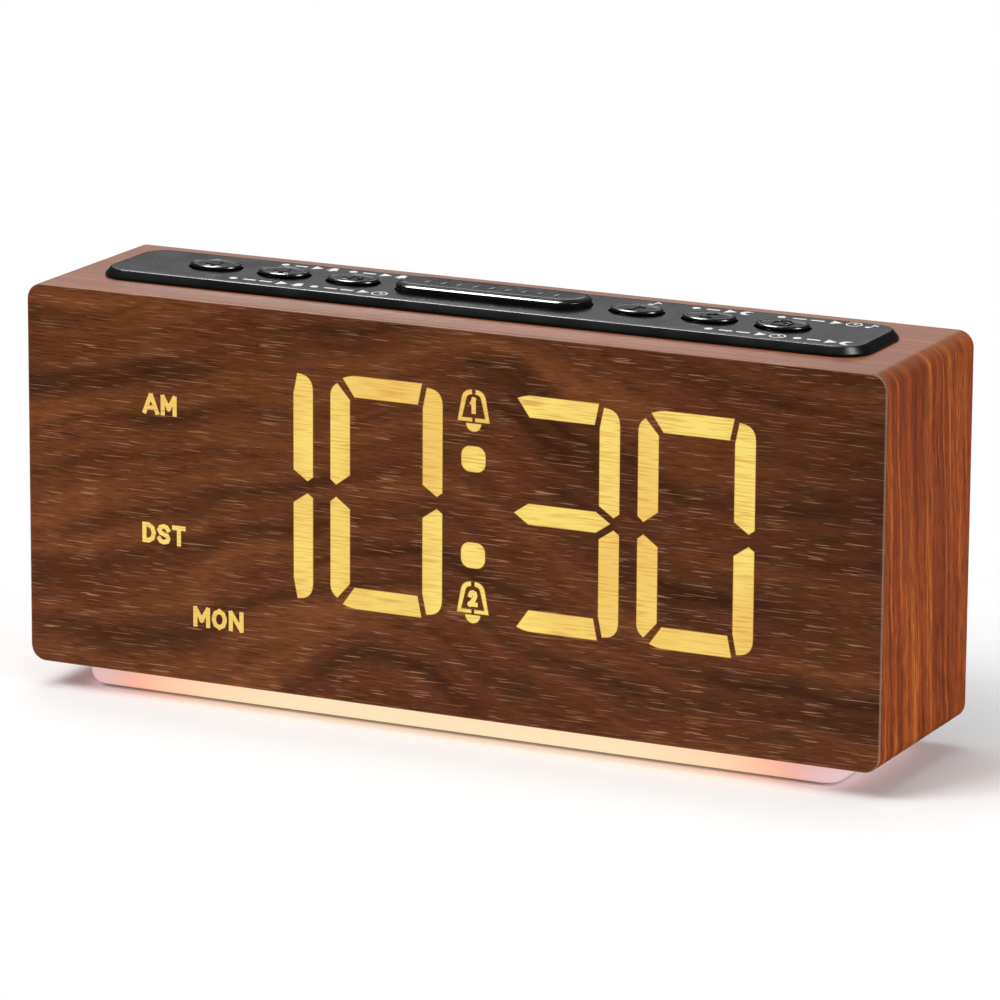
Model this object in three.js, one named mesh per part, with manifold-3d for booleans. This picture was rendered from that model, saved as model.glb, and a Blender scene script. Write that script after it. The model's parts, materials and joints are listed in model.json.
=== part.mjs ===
// A wooden digital alarm clock: a wrapped cabinet whose thin veneer face lets the digits shine through,
// a control panel let into its top, a plastic rear cover and a translucent night-light base.
// Millimetres, +Z up, the display faces -Y, and the origin is the middle of the footprint on the floor.
import * as THREE from "three";
import { mergeVertices } from "three/addons/utils/BufferGeometryUtils.js";
import Module from "manifold-3d";

const wasm = await Module();
wasm.setup();

// Cabinet
const caseWidth = 200;
const caseHeight = 84;
const caseDepth = 48;
const caseCorner = 5;
const caseWall = 5;
const caseInnerCorner = 2;
const blockSize = 9;
const blockLength = 12;

// Clearances: between clamped or glued faces, round what drops in, round a screw, and how far cutters run past
const seatGap = 0.1;
const slipGap = 0.3;
const shankGap = 0.15;
const overrun = 1;

// Front veneer and the windows that the lit segments fill
const veneerThickness = 0.8;
const veneerBevel = 0.35;
const windowGap = 0.15;
const segmentRecess = 0.1;

// Digits and colon
const shownDigits = ["1", "0", "3", "0"];
const digitWidth = 26.4;
const digitHeight = 50.7;
const digitStroke = 4.6;
const digitGap = 4.2;
const colonRoom = 10.3;
const dotWidth = 5.6;
const dotHeight = 5.5;
const dotCorner = 2;
const dotSpacing = 20.8;
const displayShift = 7.15;
const displayRise = 4.15;

// Indicator cells: two bells beside the colon, three words at the left, a row of seven days below
const bellCell = 9;
const bellSpacing = 41.4;
const wordCellWidth = 13;
const wordCellHeight = 6.5;
const wordInset = 33.3;
const wordSpacing = 14.2;
const dayCount = 7;
const dayPitch = 21;
const dayInset = 46.4;
const dayRise = 14.5;

// Display stack behind the veneer
const diffuserThickness = 1.5;
const housingDepth = 6.5;
const housingInset = 5;
const housingDrop = 4;
const housingCorner = 2;
const cellTaperShare = 0.86;
const postRadius = 2.2;
const postInsetX = 4.5;
const postInsetZ = 5;
const postHoleDepth = 4.5;
const lampSize = 1.8;
const lampHeight = 0.7;
const chipLength = 16;
const chipWidth = 8;
const chipHeight = 1.5;

// Circuit boards and the plugs soldered on them
const boardThickness = 1.6;
const thinBoard = 1.2;
const boardCorner = 1;
const plugWidth = 15;
const plugHeight = 4;
const plugDepth = 3;
const ribbonWidth = 12;
const ribbonThickness = 0.6;
const ribbonSag = 7;
const leadRadius = 0.9;

// Small screws: shank, head and length, for the boards, the covers and the base
const screwRadius = 1;
const screwHeadRadius = 2;
const screwHeadHeight = 1.3;
const screwGrip = 3.5;
const coverScrewRadius = 1.4;
const coverScrewHeadRadius = 2.9;
const coverScrewHeadHeight = 1.4;
const coverScrewGrip = 8;
const pilotExtra = 1;

// Rear cover with its grille, battery bay and posts
const coverThickness = 2.2;
const coverRecess = 0.4;
const coverSink = 0.9;
const coverPostRadius = 2.8;
const coverPostInset = 5.5;
const boardGap = 10.7;
const boardHeight = 44;
const boardMargin = 13;
const speakerRadius = 18;
const speakerDepth = 9;
const speakerFlange = 1.4;
const speakerBasketRadius = 12;
const magnetRadius = 9;
const magnetDepth = 4;
const collarWall = 1.5;
const collarDepth = 5;
const speakerInset = 33;
const grilleSlot = 2;
const grillePitch = 4.2;
const grilleRows = 7;

// Battery bay, door, cell and its contact
const doorWidth = 40;
const doorHeight = 26.4;
const doorThickness = 2;
const doorCorner = 2;
const doorScrewInset = 5;
const fingerNotch = 8;
const bayWall = 1.3;
const bayLip = 1.5;
const bayDepth = 7.4;
const chamberWidth = 28;
const cellRadius = 10;
const cellThickness = 3.2;
const contactThickness = 0.4;
const contactWidth = 8;
const bayShift = 4;
const doorTravel = 40;

// Power jack
const jackWidth = 9;
const jackHeight = 11;
const jackNoseRadius = 4.3;
const jackBoreRadius = 3.2;
const jackBoreDepth = 9;
const jackPinRadius = 1;
const jackInset = 20;
const jackDrop = 10;

// Control panel
const panelLength = 179;
const panelDepth = 26.2;
const panelCorner = 6.5;
const panelThickness = 2;
const panelRim = 0.5;
const panelBevel = 1.1;
const panelLap = 6.5;
const panelLapDepth = 3.6;
const openingCorner = 3;
const skirtWall = 1.2;
const hookLength = 8;
const hookHeight = 1.2;
const hookReach = 0.5;
const hookRoom = 0.2;
const hooksPerSide = 3;

// Round buttons and the snooze bar
const buttonCount = 6;
const buttonRadius = 6.5;
const buttonPitch = 16.65;
const buttonProud = 2;
const buttonWall = 1.2;
const buttonTopRadius = 5.7;
const buttonRimWidth = 0.5;
const buttonDish = 0.25;
const flangeLip = 0.9;
const flangeThickness = 1.2;
const flangeRoom = 0.2;
const stemRadius = 1.6;
const barLength = 45;
const barDepth = 11;
const barWall = 1.25;
const barShoulder = 0.35;
const barBevel = 1.5;
const barToButton = 10.9;

// Control board and its switches, under the panel
const controlBoardDepth = 16;
const controlBoardMargin = 1.5;
const controlDrop = 8.5;
const panelPostRadius = 1.9;
const switchSize = 6;
const switchBody = 3.5;
const switchHeight = 5;
const switchCollar = 2.8;
const switchBore = 1.9;
const switchBoreDepth = 2.2;
const stemEntry = 0.7;

// Night-light base
const footProud = 0.5;
const baseHeight = 5.4;
const baseInsetX = 10.5;
const baseInsetY = 4.5;
const baseCorner = 8;
const baseRound = 1.4;
const baseWall = 2.2;
const baseFloor = 1.6;
const baseBossRadius = 3.6;
const footRadius = 4;
const footThickness = 1.1;
const footRound = 0.3;
const footInset = 10.5;
const footInsetY = 9.5;
const baseScrewInset = 13;
const baseScrewSink = 1.8;
const baseScrewGrip = 3;
const nightBoardLength = 152;
const nightBoardWidth = 11;
const nightBoardThickness = 1;
const nightBoardRise = 3.5;
const nightPostRadius = 1.5;
const nightLampCount = 8;
const nightLampPitch = 18;
const nightLampSize = 5;
const nightLampHeight = 0.8;
const leadHoleRadius = 3;
const leadPlace = 4;

// Fineness: segments in a quarter corner, round a circle and along a lead
const cornerSteps = 5;
const roundSides = 20;
const smallSides = 10;
const pilotSides = 6;
const curveSteps = 2;
const leadSides = 8;
const leadSteps = 12;
const fullTurn = 360;
const quarterTurn = 90;

// Finishes: colour, roughness and metalness
const finishes = {
  wrap: { color: 0x9c5a30, roughness: 0.5, metalness: 0 },
  veneer: { color: 0x63371f, roughness: 0.55, metalness: 0 },
  glow: { color: 0xffd97a, roughness: 0.4, metalness: 0 },
  whitePlastic: { color: 0xe9e6df, roughness: 0.5, metalness: 0 },
  blackPlastic: { color: 0x1b1d1e, roughness: 0.35, metalness: 0 },
  gloss: { color: 0x141516, roughness: 0.2, metalness: 0 },
  board: { color: 0x1f5a3a, roughness: 0.5, metalness: 0 },
  ribbon: { color: 0xb8b8b4, roughness: 0.6, metalness: 0 },
  lead: { color: 0xb02c24, roughness: 0.5, metalness: 0 },
  steel: { color: 0xb9bcc0, roughness: 0.3, metalness: 1 },
  rubber: { color: 0x26272a, roughness: 0.9, metalness: 0 },
  milky: { color: 0xfbe3cf, roughness: 0.4, metalness: 0 },
};

// Levels and places that several pieces share; heights are above the cabinet's underside
const innerWidth = caseWidth - 2 * caseWall;
const innerHeight = caseHeight - 2 * caseWall;
const innerTop = caseHeight - caseWall;
const faceMiddle = caseHeight / 2;
const caseFloor = footProud + baseHeight + seatGap;

// Depths run along Y: the front is -Y
const veneerFront = -caseDepth / 2;
const veneerBack = veneerFront + veneerThickness;
const shellFront = veneerBack + seatGap;
const diffuserBack = shellFront + diffuserThickness;
const housingFront = diffuserBack + seatGap;
const housingBack = housingFront + housingDepth;
const displayBoardFront = housingBack + seatGap;
const displayBoardBack = displayBoardFront + boardThickness;
const coverBack = caseDepth / 2 - coverRecess;
const coverFront = coverBack - coverThickness;
const mainBoardBack = coverFront - boardGap;
const mainBoardFront = mainBoardBack - boardThickness;

const digitPitch = digitWidth + digitGap;
const digitsMiddle = faceMiddle + displayRise;
const housingWidth = innerWidth - 2 * housingInset;
const housingHeight = innerHeight - 2 * housingDrop;

const speakerX = innerWidth / 2 - speakerInset;
const mainBoardLeft = -innerWidth / 2 + boardMargin;
const mainBoardRight = speakerX - speakerRadius - boardMargin;
const mainBoardLength = mainBoardRight - mainBoardLeft;
const mainBoardX = (mainBoardLeft + mainBoardRight) / 2;
const mainBoardBottom = faceMiddle - boardHeight / 2;
const doorX = mainBoardX + bayShift;
const doorZ = faceMiddle + bayShift;
const doorScrewX = doorX + doorWidth / 2 - doorScrewInset;
const chamberX = doorX - doorWidth / 2 + bayLip + chamberWidth / 2;
const cellX = chamberX - chamberWidth / 2 + slipGap + cellRadius;
const jackX = mainBoardLeft + jackInset;
const jackZ = mainBoardBottom + jackDrop;
const ribbonX = mainBoardLeft + plugWidth;
const displayPlugZ = faceMiddle - plugHeight;
const controlPlugX = ribbonX + plugWidth * 2;
const controlPlugZ = faceMiddle + boardHeight / 2 - plugHeight;

const panelFoot = caseHeight + seatGap;
const panelTop = panelFoot + panelThickness;
const openingLength = panelLength - 2 * panelLap;
const openingDepth = panelDepth - 2 * panelLapDepth;
const skirtLength = openingLength - 2 * slipGap;
const skirtDepth = openingDepth - 2 * slipGap;
const skirtBottom = innerTop - hookRoom - hookHeight;
const flangeTop = panelFoot - flangeRoom;
const flangeBottom = flangeTop - flangeThickness;
const controlBoardTop = panelFoot - controlDrop;
const controlBoardBottom = controlBoardTop - thinBoard;
const stemBottom = controlBoardTop + switchHeight - stemEntry;
const buttonStart = barLength / 2 + barToButton;
const buttonPlaces = [];
for (let i = 0; i < buttonCount / 2; i += 1) {
  const place = buttonStart + i * buttonPitch;
  buttonPlaces.unshift(-place);
  buttonPlaces.push(place);
}
const switchPlaces = [...buttonPlaces, 0];
const outerPostX = buttonStart + (buttonCount / 2 - 1) * buttonPitch + buttonRadius + flangeLip + 2 * panelPostRadius;
const innerPostX = buttonStart - buttonRadius - flangeLip - slipGap;
const innerPostY = skirtDepth / 2 - skirtWall / 2 - panelPostRadius;
const panelPosts = [
  [-outerPostX, 0],
  [-innerPostX, innerPostY],
  [innerPostX, innerPostY],
  [outerPostX, 0],
];

const baseLength = caseWidth - 2 * baseInsetX;
const baseDepth = caseDepth - 2 * baseInsetY;
const baseBottom = footProud;
const baseTop = baseBottom + baseHeight;
const footX = baseLength / 2 - footInset;
const footY = baseDepth / 2 - footInsetY;
const baseScrewX = footX - baseScrewInset;
const nightBoardBottom = baseBottom + nightBoardRise;
const nightBoardTop = nightBoardBottom + nightBoardThickness;
const leadX = -leadPlace * nightLampCount;
const leadY = 0;

const cornerSigns = [
  [-1, -1],
  [1, -1],
  [-1, 1],
  [1, 1],
];
const rearScrewPlaces = cornerSigns.map(([x, z]) => [
  x * (innerWidth / 2 - blockSize / 2),
  faceMiddle + z * (innerHeight / 2 - blockSize / 2),
]);
const displayPosts = cornerSigns.map(([x, z]) => [
  x * (housingWidth / 2 - postInsetX),
  faceMiddle + z * (housingHeight / 2 - postInsetZ),
]);
const boardPosts = cornerSigns.map(([x, z]) => [
  mainBoardX + x * (mainBoardLength / 2 - coverPostInset),
  faceMiddle + z * (boardHeight / 2 - coverPostInset),
]);
const baseScrewPlaces = cornerSigns.map(([x, y]) => [x * baseScrewX, y * footY]);
const footPlaces = cornerSigns.map(([x, y]) => [x * footX, y * footY]);

// Outlines: lists of points, counter-clockwise
function arc(centreX, centreY, radius, start, end, steps) {
  const points = [];
  for (let step = 0; step <= steps; step += 1) {
    const angle = THREE.MathUtils.degToRad(start + ((end - start) * step) / steps);
    points.push(new THREE.Vector2(centreX + radius * Math.cos(angle), centreY + radius * Math.sin(angle)));
  }
  return points;
}

function circle(radius, sides = roundSides) {
  return arc(0, 0, radius, 0, fullTurn, sides).slice(0, sides);
}

// The radius of a hole whose flat sides clear a round shank
function pilotRadius(shank) {
  return (shank + shankGap) / Math.cos(Math.PI / pilotSides);
}

function rectangle(width, height) {
  return cornerSigns
    .map(([x, y]) => new THREE.Vector2((x * width) / 2, (y * height) / 2))
    .sort((p, q) => p.angle() - q.angle());
}

function roundedRectangle(width, height, radius, steps = cornerSteps) {
  const x = width / 2 - radius;
  const y = height / 2 - radius;
  return [
    ...arc(x, -y, radius, -quarterTurn, 0, steps),
    ...arc(x, y, radius, 0, quarterTurn, steps),
    ...arc(-x, y, radius, quarterTurn, 2 * quarterTurn, steps),
    ...arc(-x, -y, radius, 2 * quarterTurn, 3 * quarterTurn, steps),
  ];
}

function stadium(width, height, steps = 2 * cornerSteps) {
  const x = (width - height) / 2;
  return [
    ...arc(x, 0, height / 2, -quarterTurn, quarterTurn, steps),
    ...arc(-x, 0, height / 2, quarterTurn, 3 * quarterTurn, steps),
  ];
}

function moved(outline, x, y) {
  return outline.map((point) => new THREE.Vector2(point.x + x, point.y + y));
}

function middleOf(outline) {
  const box = new THREE.Box2().setFromPoints(outline);
  return box.getCenter(new THREE.Vector2());
}

function scaledAbout(outline, centre, share) {
  return outline.map((point) => point.clone().sub(centre).multiplyScalar(share).add(centre));
}

// Moves each side of an outline outward by a distance, and keeps its corners sharp
function widened(outline, distance) {
  return outline.map((point, i) => {
    const before = outline[(i + outline.length - 1) % outline.length];
    const after = outline[(i + 1) % outline.length];
    const incoming = point.clone().sub(before).normalize();
    const outgoing = after.clone().sub(point).normalize();
    const normal = new THREE.Vector2(incoming.y + outgoing.y, -incoming.x - outgoing.x);
    const squareness = 1 + incoming.dot(outgoing);
    return point.clone().add(normal.multiplyScalar(distance / squareness));
  });
}

// Rounds the corners of an outline: each corner is [x, y, how far the round reaches along its sides]
function rounded(corners) {
  const points = corners.map(([x, y]) => new THREE.Vector2(x, y));
  return corners.flatMap(([, , reach], i) => {
    const corner = points[i];
    if (reach === 0) return [corner];
    const before = points[(i + points.length - 1) % points.length];
    const after = points[(i + 1) % points.length];
    const start = corner.clone().add(before.clone().sub(corner).setLength(reach));
    const end = corner.clone().add(after.clone().sub(corner).setLength(reach));
    return new THREE.QuadraticBezierCurve(start, corner, end).getPoints(curveSteps);
  });
}

// Solids: extrusions, lofts and revolves, joined and cut
function solidOf(geometry) {
  const bare = geometry.clone();
  bare.deleteAttribute("normal");
  bare.deleteAttribute("uv");
  const merged = mergeVertices(bare);
  const corners = merged.index.array;
  const kept = [];
  for (let i = 0; i < corners.length; i += 3) {
    const [a, b, c] = corners.subarray(i, i + 3);
    if (a !== b && b !== c && c !== a) kept.push(a, b, c);
  }
  const vertProperties = new Float32Array(merged.attributes.position.array);
  return new wasm.Manifold(new wasm.Mesh({ numProp: 3, vertProperties, triVerts: new Uint32Array(kept) }));
}

// Turns a shape drawn in X and Y and raised along Z so that it stands in X and Z and runs back along -Y
function stood(geometry) {
  const position = geometry.attributes.position;
  for (let i = 0; i < position.count; i += 1) {
    const y = position.getY(i);
    position.setY(i, -position.getZ(i));
    position.setZ(i, y);
  }
  return geometry;
}

function raised(outline, low, high) {
  const geometry = new THREE.ExtrudeGeometry(new THREE.Shape(outline), { depth: high - low, bevelEnabled: false });
  return geometry.translate(0, 0, low);
}

function upright(outline, low, high) {
  return solidOf(raised(outline, low, high));
}

function alongDepth(outline, front, back) {
  return solidOf(stood(raised(outline, -back, -front)));
}

// Skins a stack of outlines of equal length, each at its own level
function loft(levels) {
  const count = levels[0].outline.length;
  const positions = levels.flatMap(({ outline, level }) => outline.flatMap((point) => [point.x, point.y, level]));
  const index = [];
  for (let ring = 0; ring < levels.length - 1; ring += 1) {
    for (let i = 0; i < count; i += 1) {
      const a = ring * count + i;
      const b = ring * count + ((i + 1) % count);
      index.push(a, b, b + count, a, b + count, a + count);
    }
  }
  const top = (levels.length - 1) * count;
  const caps = THREE.ShapeUtils.triangulateShape(levels[0].outline, []);
  const lids = THREE.ShapeUtils.triangulateShape(levels.at(-1).outline, []);
  caps.forEach(([a, b, c]) => index.push(c, b, a));
  lids.forEach(([a, b, c]) => index.push(top + a, top + b, top + c));
  const geometry = new THREE.BufferGeometry();
  geometry.setAttribute("position", new THREE.Float32BufferAttribute(positions, 3));
  geometry.setIndex(index);
  return geometry;
}

// Revolves a profile of [radius, height] points, from the axis back to the axis, about Z
function turned(profile, sides = roundSides) {
  const points = profile.map(([radius, height]) => new THREE.Vector2(radius, height));
  return solidOf(stood(new THREE.LatheGeometry(points, sides)));
}

function joined(first, ...others) {
  return others.reduce((whole, solid) => whole.add(solid), first);
}

function cut(solid, ...cutters) {
  return cutters.reduce((whole, cutter) => whole.subtract(cutter), solid);
}

function geometryOf(solid) {
  const { vertProperties, triVerts } = solid.getMesh();
  const geometry = new THREE.BufferGeometry();
  geometry.setAttribute("position", new THREE.BufferAttribute(vertProperties, 3));
  geometry.setIndex(new THREE.BufferAttribute(triVerts, 1));
  geometry.computeVertexNormals();
  return geometry;
}

function piece(name, solid, finish) {
  const material = new THREE.MeshStandardMaterial({ ...finishes[finish], flatShading: true });
  const mesh = new THREE.Mesh(geometryOf(solid), material);
  mesh.name = name;
  return mesh;
}

function placed(mesh, x, y, z) {
  mesh.position.set(x, y, z);
  return mesh;
}

function group(...children) {
  const holder = new THREE.Group();
  holder.add(...children);
  return holder;
}

// A pan-head screw that points up, with the underside of its head at height 0
function screw(headRadius, headHeight, shankRadius, length) {
  return turned(
    [
      [0, -headHeight],
      [headRadius, -headHeight],
      [headRadius, 0],
      [shankRadius, 0],
      [shankRadius, length - shankRadius],
      [0, length],
    ],
    smallSides,
  );
}

// Digits: each segment's outline is drawn from the digit's edges and middle, in shares of the stroke
const segmentShares = {
  a: [
    ["left", 0.64, "top", 0.16, 0],
    ["left", 1.24, "top", 1, 0],
    ["right", 1.26, "top", 1, 0],
    ["right", 1.05, "top", 0, 0],
    ["left", 1.05, "top", 0, 0.35],
  ],
  b: [
    ["right", 0.8, "top", 0.17, 0],
    ["right", 1, "top", 1.14, 0],
    ["right", 1, "middle", 0.78, 0],
    ["right", 0.28, "middle", 0.29, 0],
    ["right", 0, "middle", 0.49, 0],
    ["right", 0, "top", 0.2, 0.75],
  ],
  f: [
    ["left", 0.35, "top", 0.43, 0],
    ["left", 0, "top", 0.68, 0.35],
    ["left", 0, "middle", 0.53, 0],
    ["left", 0.29, "middle", 0.29, 0],
    ["left", 1, "middle", 0.81, 0],
    ["left", 1, "top", 1.16, 0],
  ],
  g: [
    ["left", 0.49, "middle", 0, 0],
    ["left", 1.2, "middle", -0.48, 0],
    ["right", 1.16, "middle", -0.48, 0],
    ["right", 0.45, "middle", 0, 0],
    ["right", 1.16, "middle", 0.48, 0],
    ["left", 1.2, "middle", 0.48, 0],
  ],
};
const mirroredSegments = { c: "b", d: "a", e: "f" };
const litSegments = { 0: "abcdef", 1: "bc", 3: "abcdg" };
const allSegments = "abcdefg";

function segment(letter) {
  const source = mirroredSegments[letter] ?? letter;
  const corners = segmentShares[source].map(([side, across, level, along, reach]) => {
    const x = side === "left" ? -digitWidth / 2 + across * digitStroke : digitWidth / 2 - across * digitStroke;
    const y = level === "top" ? digitHeight / 2 - along * digitStroke : along * digitStroke;
    return [x, y, reach * digitStroke];
  });
  const outline = rounded(corners);
  if (source === letter) return outline;
  return outline.map((point) => new THREE.Vector2(point.x, -point.y)).reverse();
}

function digitX(place) {
  const fromMiddle = place - (shownDigits.length - 1) / 2;
  return displayShift + fromMiddle * digitPitch + (Math.sign(fromMiddle) * colonRoom) / 2;
}

function segmentsOf(place, letters) {
  return [...letters].map((letter) => moved(segment(letter), digitX(place), digitsMiddle));
}

function dots() {
  const dot = roundedRectangle(dotWidth, dotHeight, dotCorner, curveSteps);
  return [-1, 1].map((side) => moved(dot, displayShift, digitsMiddle + (side * dotSpacing) / 2));
}

const litOutlines = [...shownDigits.flatMap((digit, place) => segmentsOf(place, litSegments[digit])), ...dots()];
const segmentCells = [...shownDigits.flatMap((_, place) => segmentsOf(place, allSegments)), ...dots()];

// Cells for the bells, the words at the left and the days of the week
function indicatorCells() {
  const bells = [-1, 1].map((side) =>
    moved(circle(bellCell / 2, smallSides), displayShift, digitsMiddle + (side * bellSpacing) / 2),
  );
  const word = rectangle(wordCellWidth, wordCellHeight);
  const words = [-1, 0, 1].map((row) => moved(word, -caseWidth / 2 + wordInset, digitsMiddle + row * wordSpacing));
  const days = Array.from({ length: dayCount }, (_, day) =>
    moved(word, -caseWidth / 2 + dayInset + day * dayPitch, dayRise),
  );
  return [...bells, ...words, ...days];
}

// Cabinet: the wrapped tube, the veneer face
function cabinetShell() {
  const outer = moved(roundedRectangle(caseWidth, caseHeight, caseCorner), 0, faceMiddle);
  const inner = moved(roundedRectangle(innerWidth, innerHeight, caseInnerCorner), 0, faceMiddle);
  const tube = cut(
    alongDepth(outer, shellFront, caseDepth / 2),
    alongDepth(inner, shellFront - overrun, caseDepth / 2 + overrun),
  );
  const blockBack = coverFront - seatGap;
  const block = rectangle(blockSize + overrun, blockSize + overrun);
  const blocks = rearScrewPlaces.map(([x, z]) => {
    const outwardX = (Math.sign(x) * overrun) / 2;
    const outwardZ = (Math.sign(z - faceMiddle) * overrun) / 2;
    return alongDepth(moved(block, x + outwardX, z + outwardZ), blockBack - blockLength, blockBack);
  });
  const opening = roundedRectangle(openingLength, openingDepth, openingCorner);
  const pilot = circle(pilotRadius(coverScrewRadius), pilotSides);
  const pilotLength = coverScrewGrip + pilotExtra;
  return cut(
    joined(tube, ...blocks),
    upright(opening, innerTop - overrun, caseHeight + overrun),
    upright(moved(circle(leadHoleRadius, smallSides), leadX, leadY), -overrun, caseWall + overrun),
    ...baseScrewPlaces.map(([x, y]) => upright(moved(pilot, x, y), -overrun, baseScrewGrip + pilotExtra)),
    ...rearScrewPlaces.map(([x, z]) => alongDepth(moved(pilot, x, z), blockBack - pilotLength, blockBack + overrun)),
  );
}

function frontVeneer() {
  const full = moved(roundedRectangle(caseWidth, caseHeight, caseCorner), 0, faceMiddle);
  const eased = moved(
    roundedRectangle(caseWidth - 2 * veneerBevel, caseHeight - 2 * veneerBevel, caseCorner - veneerBevel),
    0,
    faceMiddle,
  );
  const sheet = solidOf(
    stood(
      loft([
        { outline: full, level: -veneerBack },
        { outline: full, level: -veneerFront - veneerBevel },
        { outline: eased, level: -veneerFront },
      ]),
    ),
  );
  const windows = litOutlines.map((outline) =>
    alongDepth(widened(outline, windowGap), veneerFront - overrun, veneerBack + overrun),
  );
  return cut(sheet, ...windows);
}

// Display: the diffuser with its raised segments, the light cells and the lamps behind them
function displayDiffuser() {
  const width = innerWidth - 2 * slipGap;
  const height = innerHeight - 2 * slipGap;
  const plateOutline = moved(roundedRectangle(width, height, caseInnerCorner - slipGap), 0, faceMiddle);
  const plate = alongDepth(plateOutline, shellFront, diffuserBack);
  const plateMiddle = (shellFront + diffuserBack) / 2;
  const segments = litOutlines.map((outline) => alongDepth(outline, veneerFront + segmentRecess, plateMiddle));
  const postEnd = displayBoardFront - seatGap;
  const post = circle(postRadius, smallSides);
  const pilot = circle(pilotRadius(screwRadius), pilotSides);
  const posts = displayPosts.map(([x, z]) => alongDepth(moved(post, x, z), plateMiddle, postEnd));
  const pilots = displayPosts.map(([x, z]) =>
    alongDepth(moved(pilot, x, z), postEnd - postHoleDepth, postEnd + overrun),
  );
  return cut(joined(plate, ...segments, ...posts), ...pilots);
}

function cell(outline) {
  const centre = middleOf(outline);
  const depth = housingDepth + 2 * overrun;
  const front = scaledAbout(outline, centre, 1);
  const back = scaledAbout(outline, centre, cellTaperShare);
  return solidOf(
    stood(
      loft([
        { outline: back, level: -housingBack - overrun },
        { outline: front, level: -housingBack - overrun + depth },
      ]),
    ),
  );
}

function housingOutline() {
  return moved(roundedRectangle(housingWidth, housingHeight, housingCorner, curveSteps), 0, faceMiddle);
}

function reflectorHousing() {
  const block = alongDepth(housingOutline(), housingFront, housingBack);
  const cells = [...segmentCells, ...indicatorCells()].map(cell);
  const postHole = circle(postRadius + slipGap, smallSides);
  const holes = displayPosts.map(([x, z]) =>
    alongDepth(moved(postHole, x, z), housingFront - overrun, housingBack + overrun),
  );
  return cut(block, ...cells, ...holes);
}

function displayBoard() {
  const board = alongDepth(housingOutline(), displayBoardFront, displayBoardBack);
  const boardMiddle = (displayBoardFront + displayBoardBack) / 2;
  const lamps = [...segmentCells, ...indicatorCells()].map((outline) => {
    const { x, y } = middleOf(outline);
    return alongDepth(moved(rectangle(lampSize, lampSize), x, y), displayBoardFront - lampHeight, boardMiddle);
  });
  const chips = [-1, 1].map((side) =>
    alongDepth(
      moved(rectangle(chipLength, chipWidth), side * digitPitch, faceMiddle),
      boardMiddle,
      displayBoardBack + chipHeight,
    ),
  );
  const plug = alongDepth(
    moved(rectangle(plugWidth, plugHeight), ribbonX, displayPlugZ),
    boardMiddle,
    displayBoardBack + plugDepth,
  );
  const hole = circle(pilotRadius(screwRadius), pilotSides);
  const holes = displayPosts.map(([x, z]) =>
    alongDepth(moved(hole, x, z), displayBoardFront - overrun, displayBoardBack + overrun),
  );
  return cut(joined(board, ...lamps, ...chips, plug), ...holes);
}

function boardScrews(prefix, places, headDepth, facing) {
  return places.map(([x, z], i) => {
    const solid = screw(screwHeadRadius, screwHeadHeight, screwRadius, boardThickness + screwGrip);
    const mesh = placed(piece(`${prefix}_${i + 1}`, solid, "steel"), x, headDepth, z);
    mesh.rotation.x = facing * THREE.MathUtils.degToRad(quarterTurn);
    return mesh;
  });
}

// Rear: the cover, its battery bay, the speaker, the jack and the main board
function grilleSlots() {
  const slots = [];
  for (let row = 0; row < grilleRows; row += 1) {
    const height = (row - (grilleRows - 1) / 2) * grillePitch;
    const reach = speakerRadius - collarWall - grilleSlot;
    const width = 2 * Math.sqrt(reach * reach - height * height);
    slots.push(moved(stadium(width, grilleSlot, 2 * curveSteps), speakerX, faceMiddle + height));
  }
  return slots;
}

function bayOutline(margin) {
  return moved(rectangle(doorWidth + 2 * margin, doorHeight + 2 * margin), doorX, doorZ);
}

function chamberOutline(shrink) {
  return moved(rectangle(chamberWidth - 2 * shrink, doorHeight - 2 * bayLip - 2 * shrink), chamberX, doorZ);
}

function rearCover() {
  const width = innerWidth - 2 * slipGap;
  const height = innerHeight - 2 * slipGap;
  const outline = moved(roundedRectangle(width, height, caseInnerCorner - slipGap), 0, faceMiddle);
  const plate = alongDepth(outline, coverFront, coverBack);
  const through = (shape) => alongDepth(shape, coverFront - overrun, coverBack + overrun);
  const inPlate = (coverFront + coverBack) / 2;
  const collar = cut(
    alongDepth(
      moved(circle(speakerRadius + slipGap + collarWall), speakerX, faceMiddle),
      coverFront - collarDepth,
      inPlate,
    ),
    alongDepth(
      moved(circle(speakerRadius + slipGap), speakerX, faceMiddle),
      coverFront - collarDepth - overrun,
      coverFront,
    ),
  );
  const postFront = mainBoardBack + seatGap;
  const posts = boardPosts.map(([x, z]) => alongDepth(moved(circle(coverPostRadius, smallSides), x, z), postFront, inPlate));
  const pilot = circle(pilotRadius(screwRadius), pilotSides);
  const pilots = boardPosts.map(([x, z]) =>
    alongDepth(moved(pilot, x, z), postFront - overrun, postFront + screwGrip + pilotExtra),
  );
  const bay = alongDepth(bayOutline(bayWall), coverBack - bayDepth - bayWall, inPlate);
  const rebate = moved(
    roundedRectangle(doorWidth + 2 * slipGap, doorHeight + 2 * slipGap, doorCorner + slipGap),
    doorX,
    doorZ,
  );
  const doorPilot = moved(circle(pilotRadius(coverScrewRadius), pilotSides), doorScrewX, doorZ);
  const head = circle(coverScrewHeadRadius + slipGap, smallSides);
  const shank = circle(pilotRadius(coverScrewRadius), pilotSides);
  return cut(
    joined(plate, collar, bay, ...posts),
    ...grilleSlots().map(through),
    through(moved(circle(jackNoseRadius + slipGap), jackX, jackZ)),
    alongDepth(rebate, coverBack - doorThickness - seatGap, coverBack + overrun),
    alongDepth(chamberOutline(0), coverBack - bayDepth, coverBack + overrun),
    alongDepth(doorPilot, coverBack - bayDepth, coverBack),
    ...rearScrewPlaces.map(([x, z]) => through(moved(shank, x, z))),
    ...rearScrewPlaces.map(([x, z]) => alongDepth(moved(head, x, z), coverBack - coverSink, coverBack + overrun)),
    ...pilots,
  );
}

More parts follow.
